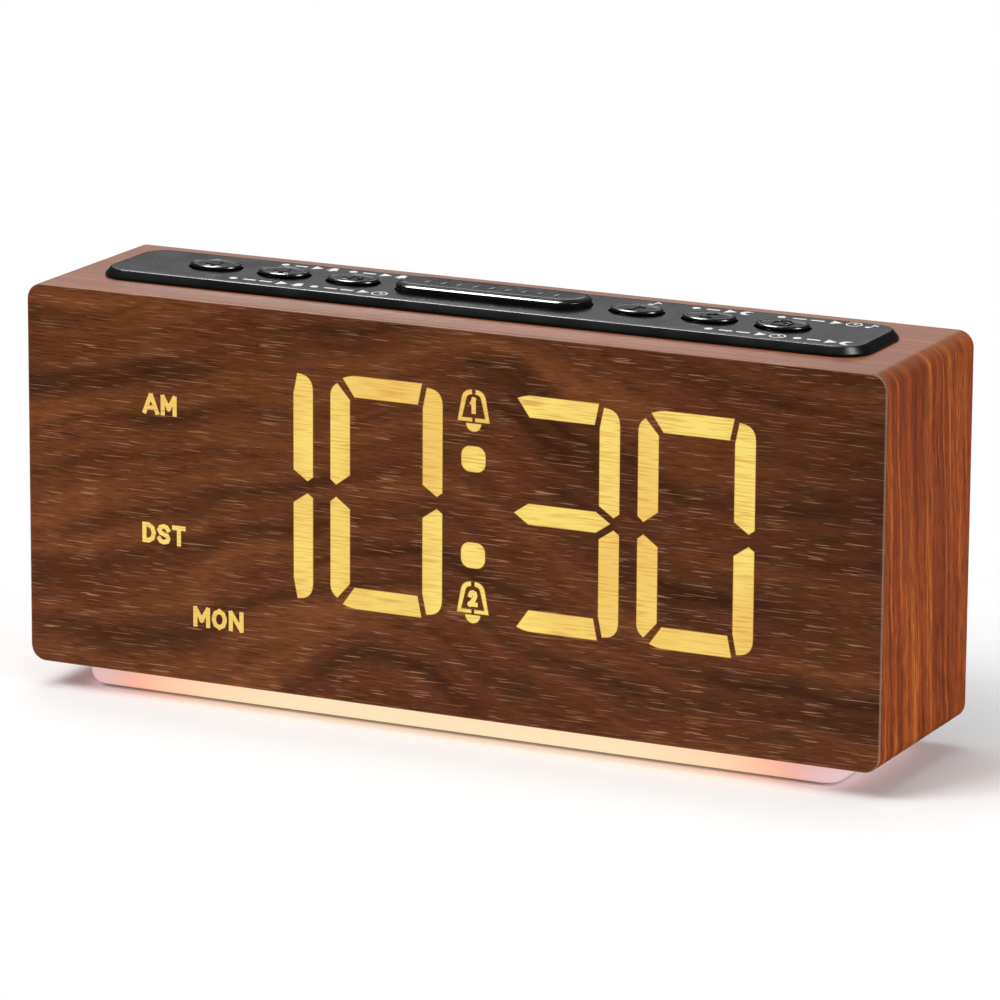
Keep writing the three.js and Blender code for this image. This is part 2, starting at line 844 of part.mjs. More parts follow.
function batteryDoor() {
  const outline = moved(roundedRectangle(doorWidth, doorHeight, doorCorner), doorX, doorZ);
  const plate = alongDepth(outline, coverBack - doorThickness, coverBack);
  const notch = moved(circle(fingerNotch / 2, smallSides), doorX - doorWidth / 2, doorZ);
  const sink = moved(circle(coverScrewHeadRadius + slipGap, smallSides), doorScrewX, doorZ);
  const shank = moved(circle(pilotRadius(coverScrewRadius), pilotSides), doorScrewX, doorZ);
  return cut(
    plate,
    alongDepth(notch, coverBack - doorThickness / 2, coverBack + overrun),
    alongDepth(sink, coverBack - doorThickness / 2, coverBack + overrun),
    alongDepth(shank, coverBack - doorThickness - overrun, coverBack + overrun),
  );
}

function speaker() {
  return turned([
    [0, -speakerDepth],
    [magnetRadius, -speakerDepth],
    [magnetRadius, magnetDepth - speakerDepth],
    [speakerBasketRadius, magnetDepth - speakerDepth],
    [speakerRadius, -speakerFlange],
    [speakerRadius, 0],
    [speakerRadius - speakerFlange, 0],
    [magnetRadius / 2, magnetDepth - speakerDepth + speakerFlange],
    [0, magnetDepth - speakerDepth + 2 * speakerFlange],
  ]);
}

function powerJack() {
  const bodyBack = coverFront - seatGap;
  const body = alongDepth(moved(rectangle(jackWidth, jackHeight), jackX, jackZ), mainBoardBack + seatGap, bodyBack);
  const nose = alongDepth(moved(circle(jackNoseRadius), jackX, jackZ), mainBoardBack + boardGap / 2, coverBack - seatGap);
  const bore = alongDepth(
    moved(circle(jackBoreRadius), jackX, jackZ),
    coverBack - seatGap - jackBoreDepth,
    coverBack + overrun,
  );
  const pin = alongDepth(
    moved(circle(jackPinRadius, smallSides), jackX, jackZ),
    coverBack - seatGap - jackBoreDepth - overrun,
    coverBack - seatGap - overrun,
  );
  return joined(cut(joined(body, nose), bore), pin);
}

function mainBoard() {
  const outline = roundedRectangle(mainBoardLength, boardHeight, boardCorner, curveSteps);
  const board = alongDepth(moved(outline, mainBoardX, faceMiddle), mainBoardFront, mainBoardBack);
  const boardMiddle = (mainBoardFront + mainBoardBack) / 2;
  const forward = (shape, x, z, height) => alongDepth(moved(shape, x, z), mainBoardFront - height, boardMiddle);
  const plug = rectangle(plugWidth, plugHeight);
  const chip = rectangle(chipWidth, chipWidth);
  const capacitor = circle(plugHeight, smallSides);
  const hole = circle(pilotRadius(screwRadius), pilotSides);
  return cut(
    joined(
      board,
      forward(plug, ribbonX, displayPlugZ, plugDepth),
      forward(plug, controlPlugX, controlPlugZ, plugDepth),
      forward(chip, mainBoardX, faceMiddle, chipHeight),
      forward(capacitor, mainBoardX + chipLength, faceMiddle, 2 * plugDepth),
      forward(capacitor, mainBoardX + 2 * chipLength, faceMiddle, 2 * plugDepth),
    ),
    ...boardPosts.map(([x, z]) =>
      alongDepth(moved(hole, x, z), mainBoardFront - overrun, mainBoardBack + overrun),
    ),
  );
}

// Controls: the panel, its buttons and the board under them
function controlPanel() {
  const ring = (inset) =>
    roundedRectangle(panelLength - 2 * inset, panelDepth - 2 * inset, panelCorner - inset);
  const plate = solidOf(
    loft([
      { outline: ring(0), level: panelFoot },
      { outline: ring(0), level: panelFoot + panelRim },
      { outline: ring(panelBevel), level: panelTop },
    ]),
  );
  const inPlate = (panelFoot + panelTop) / 2;
  const skirt = cut(
    upright(roundedRectangle(skirtLength, skirtDepth, openingCorner - slipGap), skirtBottom, inPlate),
    upright(
      roundedRectangle(skirtLength - 2 * skirtWall, skirtDepth - 2 * skirtWall, openingCorner - slipGap - skirtWall),
      skirtBottom - overrun,
      panelFoot,
    ),
  );
  const hookReachOut = openingDepth / 2 + hookReach;
  const hookInside = skirtDepth / 2 - skirtWall / 2;
  const hooks = [];
  for (let i = 0; i < hooksPerSide; i += 1) {
    const x = ((i - (hooksPerSide - 1) / 2) * skirtLength) / hooksPerSide;
    [-1, 1].forEach((side) => {
      const y = (side * (hookReachOut + hookInside)) / 2;
      const outline = moved(rectangle(hookLength, hookReachOut - hookInside), x, y);
      hooks.push(upright(outline, skirtBottom, skirtBottom + hookHeight));
    });
  }
  const postBottom = controlBoardTop + seatGap;
  const post = circle(panelPostRadius, smallSides);
  const pilot = circle(pilotRadius(screwRadius), pilotSides);
  return cut(
    joined(plate, skirt, ...hooks, ...panelPosts.map(([x, y]) => upright(moved(post, x, y), postBottom, inPlate))),
    ...panelPosts.map(([x, y]) =>
      upright(moved(pilot, x, y), postBottom - overrun, postBottom + screwGrip + pilotExtra),
    ),
    ...buttonPlaces.map((x) =>
      upright(moved(circle(buttonRadius + slipGap), x, 0), panelFoot - overrun, panelTop + overrun),
    ),
    upright(stadium(barLength + 2 * slipGap, barDepth + 2 * slipGap), panelFoot - overrun, panelTop + overrun),
  );
}

function roundButton() {
  const top = panelTop + buttonProud;
  const wallTop = panelTop + buttonWall;
  const shoulder = buttonRadius - (buttonRadius - buttonTopRadius) / 3;
  const dishRadius = buttonTopRadius - buttonRimWidth;
  return turned([
    [0, stemBottom],
    [stemRadius, stemBottom],
    [stemRadius, flangeBottom],
    [buttonRadius + flangeLip, flangeBottom],
    [buttonRadius + flangeLip, flangeTop],
    [buttonRadius, flangeTop],
    [buttonRadius, wallTop],
    [shoulder, (wallTop + 2 * top) / 3],
    [buttonTopRadius, top],
    [dishRadius, top],
    [dishRadius - buttonDish, top - buttonDish],
    [0, top - buttonDish],
  ]);
}

function snoozeBar() {
  const top = panelTop + buttonProud;
  const ring = (inset) => stadium(barLength - 2 * inset, barDepth - 2 * inset);
  const cap = solidOf(
    loft([
      { outline: ring(0), level: flangeBottom },
      { outline: ring(0), level: panelTop + barWall },
      { outline: ring(barShoulder), level: panelTop + barWall + barShoulder },
      { outline: ring(barBevel), level: top },
    ]),
  );
  const flange = upright(ring(-flangeLip), flangeBottom, flangeTop);
  const stem = upright(circle(stemRadius), stemBottom, flangeTop);
  return joined(cap, flange, stem);
}

function controlBoard() {
  const length = 2 * (outerPostX + panelPostRadius + controlBoardMargin);
  const outline = roundedRectangle(length, controlBoardDepth, boardCorner, curveSteps);
  const board = upright(outline, controlBoardBottom, controlBoardTop);
  const boardMiddle = (controlBoardBottom + controlBoardTop) / 2;
  const plug = upright(
    moved(rectangle(plugWidth, plugHeight), controlPlugX, 0),
    controlBoardBottom - plugDepth,
    boardMiddle,
  );
  const hole = circle(pilotRadius(screwRadius), pilotSides);
  return cut(
    joined(board, plug),
    ...panelPosts.map(([x, y]) => upright(moved(hole, x, y), controlBoardBottom - overrun, controlBoardTop + overrun)),
  );
}

// A push switch: a square body with a round collar that the button's stem dips into
function tactSwitch() {
  const body = upright(rectangle(switchSize, switchSize), seatGap, switchBody);
  const collar = upright(circle(switchCollar, smallSides), seatGap, switchHeight);
  const bore = upright(circle(switchBore, smallSides), switchHeight - switchBoreDepth, switchHeight + overrun);
  return cut(joined(body, collar), bore);
}

// Wiring inside: flat ribbons as bent bands, round leads as swept tubes
function band(path, thickness) {
  const outline = new THREE.Path(path.map(([x, y]) => new THREE.Vector2(x, y))).getPoints();
  const sides = [-1, 1].map((side) =>
    outline.map((point, i) => {
      const before = outline[Math.max(i - 1, 0)];
      const after = outline[Math.min(i + 1, outline.length - 1)];
      const along = after.clone().sub(before).normalize();
      const normal = new THREE.Vector2(-along.y, along.x);
      return point.clone().add(normal.multiplyScalar((side * thickness) / 2));
    }),
  );
  return [...sides[0], ...sides[1].reverse()];
}

// Raises an outline drawn in depth and height, and lays it along X between two places
function alongWidth(outline, left, right) {
  const geometry = raised(outline, left, right);
  const position = geometry.attributes.position;
  for (let i = 0; i < position.count; i += 1) {
    position.setXYZ(i, position.getZ(i), position.getX(i), position.getY(i));
  }
  return solidOf(geometry);
}

function displayRibbon() {
  const start = displayBoardBack + plugDepth + slipGap;
  const end = mainBoardFront - plugDepth - slipGap;
  const span = end - start;
  const curve = new THREE.QuadraticBezierCurve(
    new THREE.Vector2(start, displayPlugZ),
    new THREE.Vector2(start + span / 2, displayPlugZ - 2 * ribbonSag),
    new THREE.Vector2(end, displayPlugZ),
  );
  const path = curve.getPoints(leadSteps).map((point) => [point.x, point.y]);
  return alongWidth(band(path, ribbonThickness), ribbonX - ribbonWidth / 2, ribbonX + ribbonWidth / 2);
}

function controlRibbon() {
  const top = controlBoardBottom - plugDepth - slipGap;
  const end = mainBoardFront - plugDepth - slipGap;
  const curve = new THREE.QuadraticBezierCurve(
    new THREE.Vector2(0, top),
    new THREE.Vector2(0, controlPlugZ),
    new THREE.Vector2(end, controlPlugZ),
  );
  const path = curve.getPoints(leadSteps).map((point) => [point.x, point.y]);
  return alongWidth(band(path, ribbonThickness), controlPlugX - ribbonWidth / 2, controlPlugX + ribbonWidth / 2);
}

function tube(points) {
  const path = new THREE.CatmullRomCurve3(points.map(([x, y, z]) => new THREE.Vector3(x, y, z)));
  const section = new THREE.Shape(circle(leadRadius, leadSides));
  return solidOf(new THREE.ExtrudeGeometry(section, { steps: leadSteps, extrudePath: path }));
}

function nightLead() {
  const boardMiddle = (mainBoardFront + mainBoardBack) / 2;
  const top = mainBoardBottom - slipGap;
  const bottom = nightBoardTop - caseFloor + slipGap;
  return tube([
    [leadX, boardMiddle, top],
    [leadX, boardMiddle, top - 2 * leadRadius],
    [leadX, leadY, caseWall + 2 * leadRadius],
    [leadX, leadY, bottom + 2 * leadRadius],
    [leadX, leadY, bottom],
  ]);
}

function speakerLead() {
  const boardMiddle = (mainBoardFront + mainBoardBack) / 2;
  const start = mainBoardRight + slipGap;
  const magnetBack = coverFront - seatGap - speakerDepth - slipGap;
  const end = speakerX - magnetRadius / 2;
  return tube([
    [start, boardMiddle, faceMiddle],
    [start + 2 * leadRadius, boardMiddle, faceMiddle],
    [start + boardMargin, magnetBack - plugHeight, faceMiddle],
    [end - leadRadius, magnetBack - plugHeight, faceMiddle],
    [end, magnetBack - 2 * leadRadius, faceMiddle],
    [end, magnetBack, faceMiddle],
  ]);
}

// Base: the translucent tray, its lamps and the feet; heights are above the floor
function baseDiffuser() {
  const ring = (inset) => roundedRectangle(baseLength - 2 * inset, baseDepth - 2 * inset, baseCorner - inset);
  const levels = [];
  for (let step = 0; step <= curveSteps; step += 1) {
    const angle = THREE.MathUtils.degToRad((quarterTurn * step) / curveSteps);
    levels.push({
      outline: ring(baseRound * (1 - Math.sin(angle))),
      level: baseBottom + baseRound * (1 - Math.cos(angle)),
    });
  }
  levels.push({ outline: ring(0), level: baseTop });
  const hollow = upright(ring(baseWall), baseBottom + baseFloor, baseTop + overrun);
  const inFloor = baseBottom + baseFloor / 2;
  const boss = circle(baseBossRadius, smallSides);
  const bosses = baseScrewPlaces.map(([x, y]) => upright(moved(boss, x, y), inFloor, baseTop));
  const post = circle(nightPostRadius, smallSides);
  const posts = [-1, 1].flatMap((side) =>
    [nightLampPitch, nightLampPitch * (nightLampCount / 2)].map((x) =>
      upright(moved(post, side * x, 0), inFloor, nightBoardBottom - seatGap),
    ),
  );
  const shank = circle(pilotRadius(coverScrewRadius), pilotSides);
  const sink = circle(coverScrewHeadRadius + slipGap, smallSides);
  const footSeat = circle(footRadius + slipGap, smallSides);
  return cut(
    joined(cut(solidOf(loft(levels)), hollow), ...bosses, ...posts),
    ...baseScrewPlaces.map(([x, y]) => upright(moved(shank, x, y), baseBottom - overrun, baseTop + overrun)),
    ...baseScrewPlaces.map(([x, y]) => upright(moved(sink, x, y), baseBottom - overrun, baseBottom + baseScrewSink)),
    ...footPlaces.map(([x, y]) =>
      upright(moved(footSeat, x, y), baseBottom - overrun, footThickness + seatGap),
    ),
  );
}

function nightBoard() {
  const outline = roundedRectangle(nightBoardLength, nightBoardWidth, boardCorner, curveSteps);
  const board = upright(outline, nightBoardBottom, nightBoardTop);
  const boardMiddle = (nightBoardBottom + nightBoardTop) / 2;
  const lamp = rectangle(nightLampSize, nightLampSize);
  const lamps = Array.from({ length: nightLampCount }, (_, i) => {
    const x = (i - (nightLampCount - 1) / 2) * nightLampPitch;
    return upright(moved(lamp, x, 0), nightBoardBottom - nightLampHeight, boardMiddle);
  });
  return joined(board, ...lamps);
}

function foot() {
  return turned(
    [
      [0, 0],
      [footRadius - footRound, 0],
      [footRadius, footRound],
      [footRadius, footThickness],
      [0, footThickness],
    ],
    smallSides,
  );
}

// Assembly
const cabinet = group(
  piece("cabinet_shell", cabinetShell(), "wrap"),
  piece("front_veneer", frontVeneer(), "veneer"),
);

const display = group(
  piece("display_diffuser", displayDiffuser(), "glow"),
  piece("reflector_housing", reflectorHousing(), "whitePlastic"),
  piece("display_board", displayBoard(), "board"),
  ...boardScrews("display_screw", displayPosts, displayBoardBack + seatGap, 1),
);

const coverScrews = rearScrewPlaces.map(([x, z], i) => {
  const length = coverThickness - coverSink + coverScrewGrip;
  const solid = screw(coverScrewHeadRadius, coverSink, coverScrewRadius, length);
  const mesh = placed(piece(`rear_screw_${i + 1}`, solid, "steel"), x, coverBack - coverSink + seatGap, z);
  mesh.rotation.x = THREE.MathUtils.degToRad(quarterTurn);
  return mesh;
});

const doorScrew = piece(
  "battery_door_screw",
  screw(coverScrewHeadRadius, doorThickness / 2, coverScrewRadius, bayDepth - doorThickness),
  "steel",
);
placed(doorScrew, doorScrewX, coverBack - doorThickness / 2 + seatGap, doorZ);
doorScrew.rotation.x = THREE.MathUtils.degToRad(quarterTurn);

const speakerMesh = placed(piece("speaker", speaker(), "steel"), speakerX, coverFront - seatGap, faceMiddle);
speakerMesh.rotation.x = -THREE.MathUtils.degToRad(quarterTurn);

const contactFront = coverBack - bayDepth + seatGap;
const cellFront = contactFront + contactThickness + seatGap;
const rear = group(
  piece("rear_cover", rearCover(), "blackPlastic"),
  ...coverScrews,
  piece("battery_door", batteryDoor(), "blackPlastic"),
  doorScrew,
  piece("coin_cell", alongDepth(moved(circle(cellRadius), cellX, doorZ), cellFront, cellFront + cellThickness), "steel"),
  piece(
    "battery_contact",
    alongDepth(moved(rectangle(contactWidth * 2, contactWidth), cellX, doorZ), contactFront, contactFront + contactThickness),
    "steel",
  ),
  speakerMesh,
  piece("power_jack", powerJack(), "blackPlastic"),
  piece("main_board", mainBoard(), "board"),
  ...boardScrews("main_board_screw", boardPosts, mainBoardFront - seatGap, -1),
);

const controls = group(
  piece("control_panel", controlPanel(), "blackPlastic"),
  piece("control_board", controlBoard(), "board"),
  ...switchPlaces.map((x, i) => placed(piece(`tact_switch_${i + 1}`, tactSwitch(), "steel"), x, 0, controlBoardTop)),
  ...buttonPlaces.map((x, i) => placed(piece(`button_${i + 1}`, roundButton(), "gloss"), x, 0, 0)),
  piece("snooze_bar", snoozeBar(), "gloss"),
  ...panelPosts.map(([x, y], i) => {
    const solid = screw(screwHeadRadius, screwHeadHeight, screwRadius, thinBoard + screwGrip);
    return placed(piece(`control_board_screw_${i + 1}`, solid, "steel"), x, y, controlBoardBottom - seatGap);
  }),
);

const wiring = group(
  piece("display_ribbon", displayRibbon(), "ribbon"),
  piece("control_ribbon", controlRibbon(), "ribbon"),
  piece("night_light_lead", nightLead(), "lead"),
  piece("speaker_lead", speakerLead(), "lead"),
);

const base = group(
  piece("base_diffuser", baseDiffuser(), "milky"),
  piece("night_light_board", nightBoard(), "board"),
  ...baseScrewPlaces.map(([x, y], i) => {
    const headUnderside = baseBottom + baseScrewSink - seatGap;
    const length = caseFloor - headUnderside + baseScrewGrip;
    const solid = screw(coverScrewHeadRadius, coverScrewHeadHeight, coverScrewRadius, length);
    return placed(piece(`base_screw_${i + 1}`, solid, "steel"), x, y, headUnderside);
  }),
  ...footPlaces.map(([x, y], i) => placed(piece(`foot_${i + 1}`, foot(), "rubber"), x, y, 0)),
);

const clockBody = group(cabinet, display, rear, controls, wiring);
clockBody.position.z = caseFloor;
const clock = group(clockBody, base);

export default clock;
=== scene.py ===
"""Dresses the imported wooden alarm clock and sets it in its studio.

Each sub-assembly is a class that builds its meshes in the frame's own place, gives them their
finish and hands them to the body that they ride on. Outlines and levels are in millimetres.
"""

import json
import logging
import math
from collections.abc import Iterable, Sequence
from dataclasses import dataclass
from enum import Enum
from typing import Any

import bmesh
import bpy
from mathutils import Matrix, Vector


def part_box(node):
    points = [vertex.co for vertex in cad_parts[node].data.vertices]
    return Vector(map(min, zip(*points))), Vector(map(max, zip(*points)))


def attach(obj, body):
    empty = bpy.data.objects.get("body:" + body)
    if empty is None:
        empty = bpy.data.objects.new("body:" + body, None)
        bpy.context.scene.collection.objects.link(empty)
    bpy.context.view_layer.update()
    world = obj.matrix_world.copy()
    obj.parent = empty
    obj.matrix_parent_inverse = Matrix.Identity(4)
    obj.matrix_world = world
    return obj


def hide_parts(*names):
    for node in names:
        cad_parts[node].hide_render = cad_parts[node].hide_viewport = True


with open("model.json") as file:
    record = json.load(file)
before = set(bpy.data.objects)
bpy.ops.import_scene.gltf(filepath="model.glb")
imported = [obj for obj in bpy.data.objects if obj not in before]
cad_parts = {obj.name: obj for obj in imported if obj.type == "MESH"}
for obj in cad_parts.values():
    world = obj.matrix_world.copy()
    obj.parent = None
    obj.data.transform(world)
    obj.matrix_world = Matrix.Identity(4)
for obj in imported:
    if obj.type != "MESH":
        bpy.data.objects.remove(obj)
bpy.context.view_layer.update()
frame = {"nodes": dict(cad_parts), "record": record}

MM = 0.001
SHARP_ANGLE = math.radians(32)
RIM = "rim"
# How far a cutter reaches beyond what it cuts, in millimetres
OVERCUT = 1.0

# Where a soft random pattern counts as at its darkest and at its lightest
NOISE_DARK, NOISE_LIGHT = 0.3, 0.7

Point = tuple[float, float]
Triple = tuple[float, float, float]
Outline = list[Point]

logging.basicConfig(level=logging.INFO, format="%(message)s")
log = logging.getLogger("alarm_clock")


class Slot(Enum):
    """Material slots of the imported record."""

    WRAP = "wood_wrap"
    VENEER = "walnut_veneer"
    GLOW = "lit_diffuser"
    WHITE = "white_plastic"
    BOARD = "circuit_board"
    STEEL = "steel"
    BLACK = "black_abs"
    PANEL = "panel_abs"
    GLOSS = "button_gloss"
    SPEAKER = "speaker"
    SWITCH = "switch"
    RIBBON = "ribbon"
    LEAD = "lead"
    MILKY = "milky_diffuser"
    RUBBER = "foot_rubber"


class Plane(Enum):
    """The plane that an outline is drawn in. Its levels run along the third axis."""

    FLOOR = "floor"
    FACE = "face"

    def place(self, across: float, along: float, level: float) -> Vector:
        """Turns a point of an outline, in millimetres, into a point of the frame, in metres."""
        if self is Plane.FLOOR:
            return Vector((across, along, level)) * MM
        return Vector((across, level, along)) * MM


@dataclass(frozen=True)
class Ring:
    """One outline of a skin at its level, with how far it belongs to the rim."""

    outline: Outline
    level: float
    rim: float = 0.0


@dataclass(frozen=True)
class Extent:
    """The box of one CAD node at rest, in millimetres."""

    low: Vector
    high: Vector

    @classmethod
    def of(cls, node: str) -> "Extent":
        """Reads the box of a CAD node from the frame."""
        low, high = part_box(node)
        return cls(low / MM, high / MM)

    @property
    def middle(self) -> Vector:
        """The middle of the box."""
        return (self.low + self.high) / 2

    @property
    def size(self) -> Vector:
        """The three sides of the box."""
        return self.high - self.low


# Outlines


def arc(centre: Point, radius: float, start: float, end: float, steps: int) -> Outline:
    """Points along an arc.

    Args:
        centre: Middle of the arc.
        radius: Its radius.
        start: Angle of the first point, in degrees.
        end: Angle of the last point, in degrees.
        steps: How many stretches the arc is made of.

    Returns:
        The points, first and last included.
    """
    angles = [math.radians(start + (end - start) * step / steps) for step in range(steps + 1)]
    return [(centre[0] + radius * math.cos(a), centre[1] + radius * math.sin(a)) for a in angles]


def circle(radius: float, centre: Point = (0.0, 0.0), steps: int = 64) -> Outline:
    """A full circle, counter-clockwise, with no point twice."""
    return arc(centre, radius, 0, 360, steps)[:-1]


def rounded_rectangle(
    width: float, height: float, radius: float, centre: Point = (0.0, 0.0), steps: int = 12
) -> Outline:
    """A rectangle with round corners, counter-clockwise.

    Args:
        width: Its whole width.
        height: Its whole height.
        radius: Radius of its corners.
        centre: Its middle.
        steps: Stretches in each corner.

    Returns:
        The points of the outline.
    """
    across, along = width / 2 - radius, height / 2 - radius
    corners = [
        (across, -along, -90),
        (across, along, 0),
        (-across, along, 90),
        (-across, -along, 180),
    ]
    return [
        point
        for x, y, start in corners
        for point in arc((centre[0] + x, centre[1] + y), radius, start, start + 90, steps)
    ]


def stadium(length: float, depth: float, centre: Point = (0.0, 0.0), steps: int = 24) -> Outline:
    """A slot's outline: two half circles joined by straight sides."""
    reach = (length - depth) / 2
    right = arc((centre[0] + reach, centre[1]), depth / 2, -90, 90, steps)
    return right + arc((centre[0] - reach, centre[1]), depth / 2, 90, 270, steps)


def softened(
    corners: Sequence[Triple], steps: int = 4, closed: bool = True
) -> Outline:
    """Rounds the corners of a line.

    Args:
        corners: Across, along and how far the round reaches along both sides of each corner.
        steps: Stretches in each round.
        closed: Whether the last corner joins the first one.

    Returns:
        The points of the rounded line.
    """
    points: Outline = []
    count = len(corners)
    for i, (x, y, reach) in enumerate(corners):
        ends = not closed and i in (0, count - 1)
        if reach == 0 or ends:
            points.append((x, y))
            continue
        corner = Vector((x, y))
        before = Vector(corners[i - 1][:2])
        after = Vector(corners[(i + 1) % count][:2])
        start = corner + (before - corner).normalized() * reach
        end = corner + (after - corner).normalized() * reach
        for step in range(steps + 1):
            share = step / steps
            point = start * (1 - share) ** 2 + corner * 2 * share * (1 - share) + end * share**2
            points.append((point.x, point.y))
    return points


def contour(*corners: Triple, steps: int = 5) -> Outline:
    """An open line with rounded corners, such as the side view of a turned form."""
    return softened(corners, steps, closed=False)


def moved(outline: Iterable[Point], across: float, along: float) -> Outline:
    """The outline, moved."""
    return [(x + across, y + along) for x, y in outline]


def mirrored(outline: Sequence[Point], across: bool = True) -> Outline:
    """The outline mirrored left to right, or else top to bottom, and still counter-clockwise."""
    return [((-x, y) if across else (x, -y)) for x, y in reversed(outline)]


def widened(outline: Sequence[Point], distance: float) -> Outline:
    """Moves every side of a counter-clockwise outline outward.

    Args:
        outline: The points.
        distance: How far the sides move, below zero for inward.

    Returns:
        As many points as before.
    """
    count = len(outline)
    points: Outline = []
    for i, point in enumerate(outline):
        here, before = Vector(point), Vector(outline[i - 1])
        after = Vector(outline[(i + 1) % count])
        incoming, outgoing = (here - before).normalized(), (after - here).normalized()
        normal = Vector((incoming.y + outgoing.y, -incoming.x - outgoing.x))
        spread = max(1 + incoming.dot(outgoing), 0.4)
        points.append(tuple(here + normal * (distance / spread)))
    return points


# Meshes


def skin(name: str, plane: Plane, rings: Sequence[Ring], closed: bool = False) -> bpy.types.Object:
    """Skins a stack of outlines that have as many points each. A ring of one point closes to a tip.

    Args:
        name: Name of the new object.
        plane: The plane that the outlines lie in.
        rings: The outlines in order.
        closed: Whether the last ring joins the first, as in a tube, so that it has no caps.

    Returns:
        The new object, linked to the scene.
    """
    form = bmesh.new()
    layer = form.verts.layers.float.new(RIM)
    rows = []
    for ring in rings:
        row = [form.verts.new(plane.place(x, y, ring.level)) for x, y in ring.outline]
        for vertex in row:
            vertex[layer] = ring.rim
        rows.append(row)
    pairs = list(zip(rows, rows[1:])) + ([(rows[-1], rows[0])] if closed else [])
    for low, high in pairs:
        count = max(len(low), len(high))
        for i in range(count):
            j = (i + 1) % count
            if len(low) == 1:
                form.faces.new((low[0], high[j], high[i]))
            elif len(high) == 1:
                form.faces.new((low[i], low[j], high[0]))
            else:
                form.faces.new((low[i], low[j], high[j], high[i]))
    if not closed:
        for row in (rows[0], rows[-1])[: len(rows)]:
            if len(row) > 2:
                form.faces.new(row)
    bmesh.ops.recalc_face_normals(form, faces=form.faces)
    return shown(name, form)


def shown(name: str, form: bmesh.types.BMesh) -> bpy.types.Object:
    """Makes an object of a mesh in the making, smooth but for its sharp edges, and links it."""
    mesh = bpy.data.meshes.new(name)
    form.to_mesh(mesh)
    form.free()
    mesh.shade_smooth()
    mesh.set_sharp_from_angle(angle=SHARP_ANGLE)
    made = bpy.data.objects.new(name, mesh)
    bpy.context.scene.collection.objects.link(made)
    return made


def prism(name: str, plane: Plane, outline: Outline, low: float, high: float) -> bpy.types.Object:
    """A straight solid between two levels."""
    return skin(name, plane, [Ring(outline, low), Ring(outline, high)])


def turned(
    name: str,
    profile: Sequence[Point],
    centre: Point,
    plane: Plane = Plane.FLOOR,
    steps: int = 64,
) -> bpy.types.Object:
    """Turns a profile about an axis that stands on the plane.

    Args:
        name: Name of the new object.
        profile: Radius and level of each point. A radius of zero closes the form.
        centre: Where the axis stands.
        plane: The plane that the axis stands on.
        steps: Sides of the turned form.

    Returns:
        The new object.
    """
    rings = [
        Ring([centre] if radius == 0 else circle(radius, centre, steps), level)
        for radius, level in profile
    ]
    return skin(name, plane, rings)


def carved(target: bpy.types.Object, cutters: Sequence[bpy.types.Object]) -> bpy.types.Object:
    """Cuts solids out of another one and removes them.

    Args:
        target: The solid that is cut.
        cutters: The solids that are taken away from it.

    Returns:
        The target.
    """
    for cutter in cutters:
        step = target.modifiers.new("cut", "BOOLEAN")
        step.operation = "DIFFERENCE"
        step.solver = "EXACT"
        step.object = cutter
    settle(target)
    for cutter in cutters:
        bpy.data.objects.remove(cutter)
    return target


def settle(target: bpy.types.Object) -> None:
    """Turns what an object's modifiers show into its own mesh."""
    graph = bpy.context.evaluated_depsgraph_get()
    graph.update()
    mesh = bpy.data.meshes.new_from_object(target.evaluated_get(graph))
    target.modifiers.clear()
    target.data = mesh
    mesh.shade_smooth()
    mesh.set_sharp_from_angle(angle=SHARP_ANGLE)


def joined(name: str, parts: Sequence[bpy.types.Object]) -> bpy.types.Object:
    """Gathers several objects into one mesh and removes them.

    Args:
        name: Name of the new object.
        parts: The objects, at rest in the frame.

    Returns:
        The new object.
    """
    form = bmesh.new()
    for part in parts:
        form.from_mesh(part.data)
        bpy.data.objects.remove(part)
    return shown(name, form)


def ribbon(points: Sequence[Point], width: float) -> Outline:
    """A band of even width along a line.

    Args:
        points: The line's points.
        width: The band's width.

    Returns:
        The band's outline, counter-clockwise.
    """
    way = [Vector(point) for point in points]
    left, right = [], []
    for i, point in enumerate(way):
        before = (point - way[i - 1]).normalized() if i else (way[1] - point).normalized()
        after = (way[i + 1] - point).normalized() if i + 1 < len(way) else before
        ends = (i + 1 == len(way)) - (i == 0)
        along = (before + after).normalized()
        side = Vector((-along.y, along.x)) * (width / 2) / max(along.dot(before), 0.5)
        reach = along * (ends * width / 2)
        left.append(tuple(point + reach + side))
        right.append(tuple(point + reach - side))
    return right + left[::-1]


# Finishes


def linear(colour: str) -> tuple[float, float, float, float]:
    """Turns an sRGB hex colour into the linear one that a shader reads.

    Args:
        colour: A colour such as #63371f.

    Returns:
        Red, green, blue and an alpha of one.
    """
    shares = [int(colour[i : i + 2], 16) / 255 for i in (1, 3, 5)]
    red, green, blue = (s / 12.92 if s <= 0.04045 else ((s + 0.055) / 1.055) ** 2.4 for s in shares)
    return red, green, blue, 1.0


def socket(sockets: Any, key: str | int) -> Any:
    """Finds a node's socket by its place or, among those in use, by its name."""
    if isinstance(key, int):
        return sockets[key]
    return next(s for s in sockets if s.name == key and s.enabled)


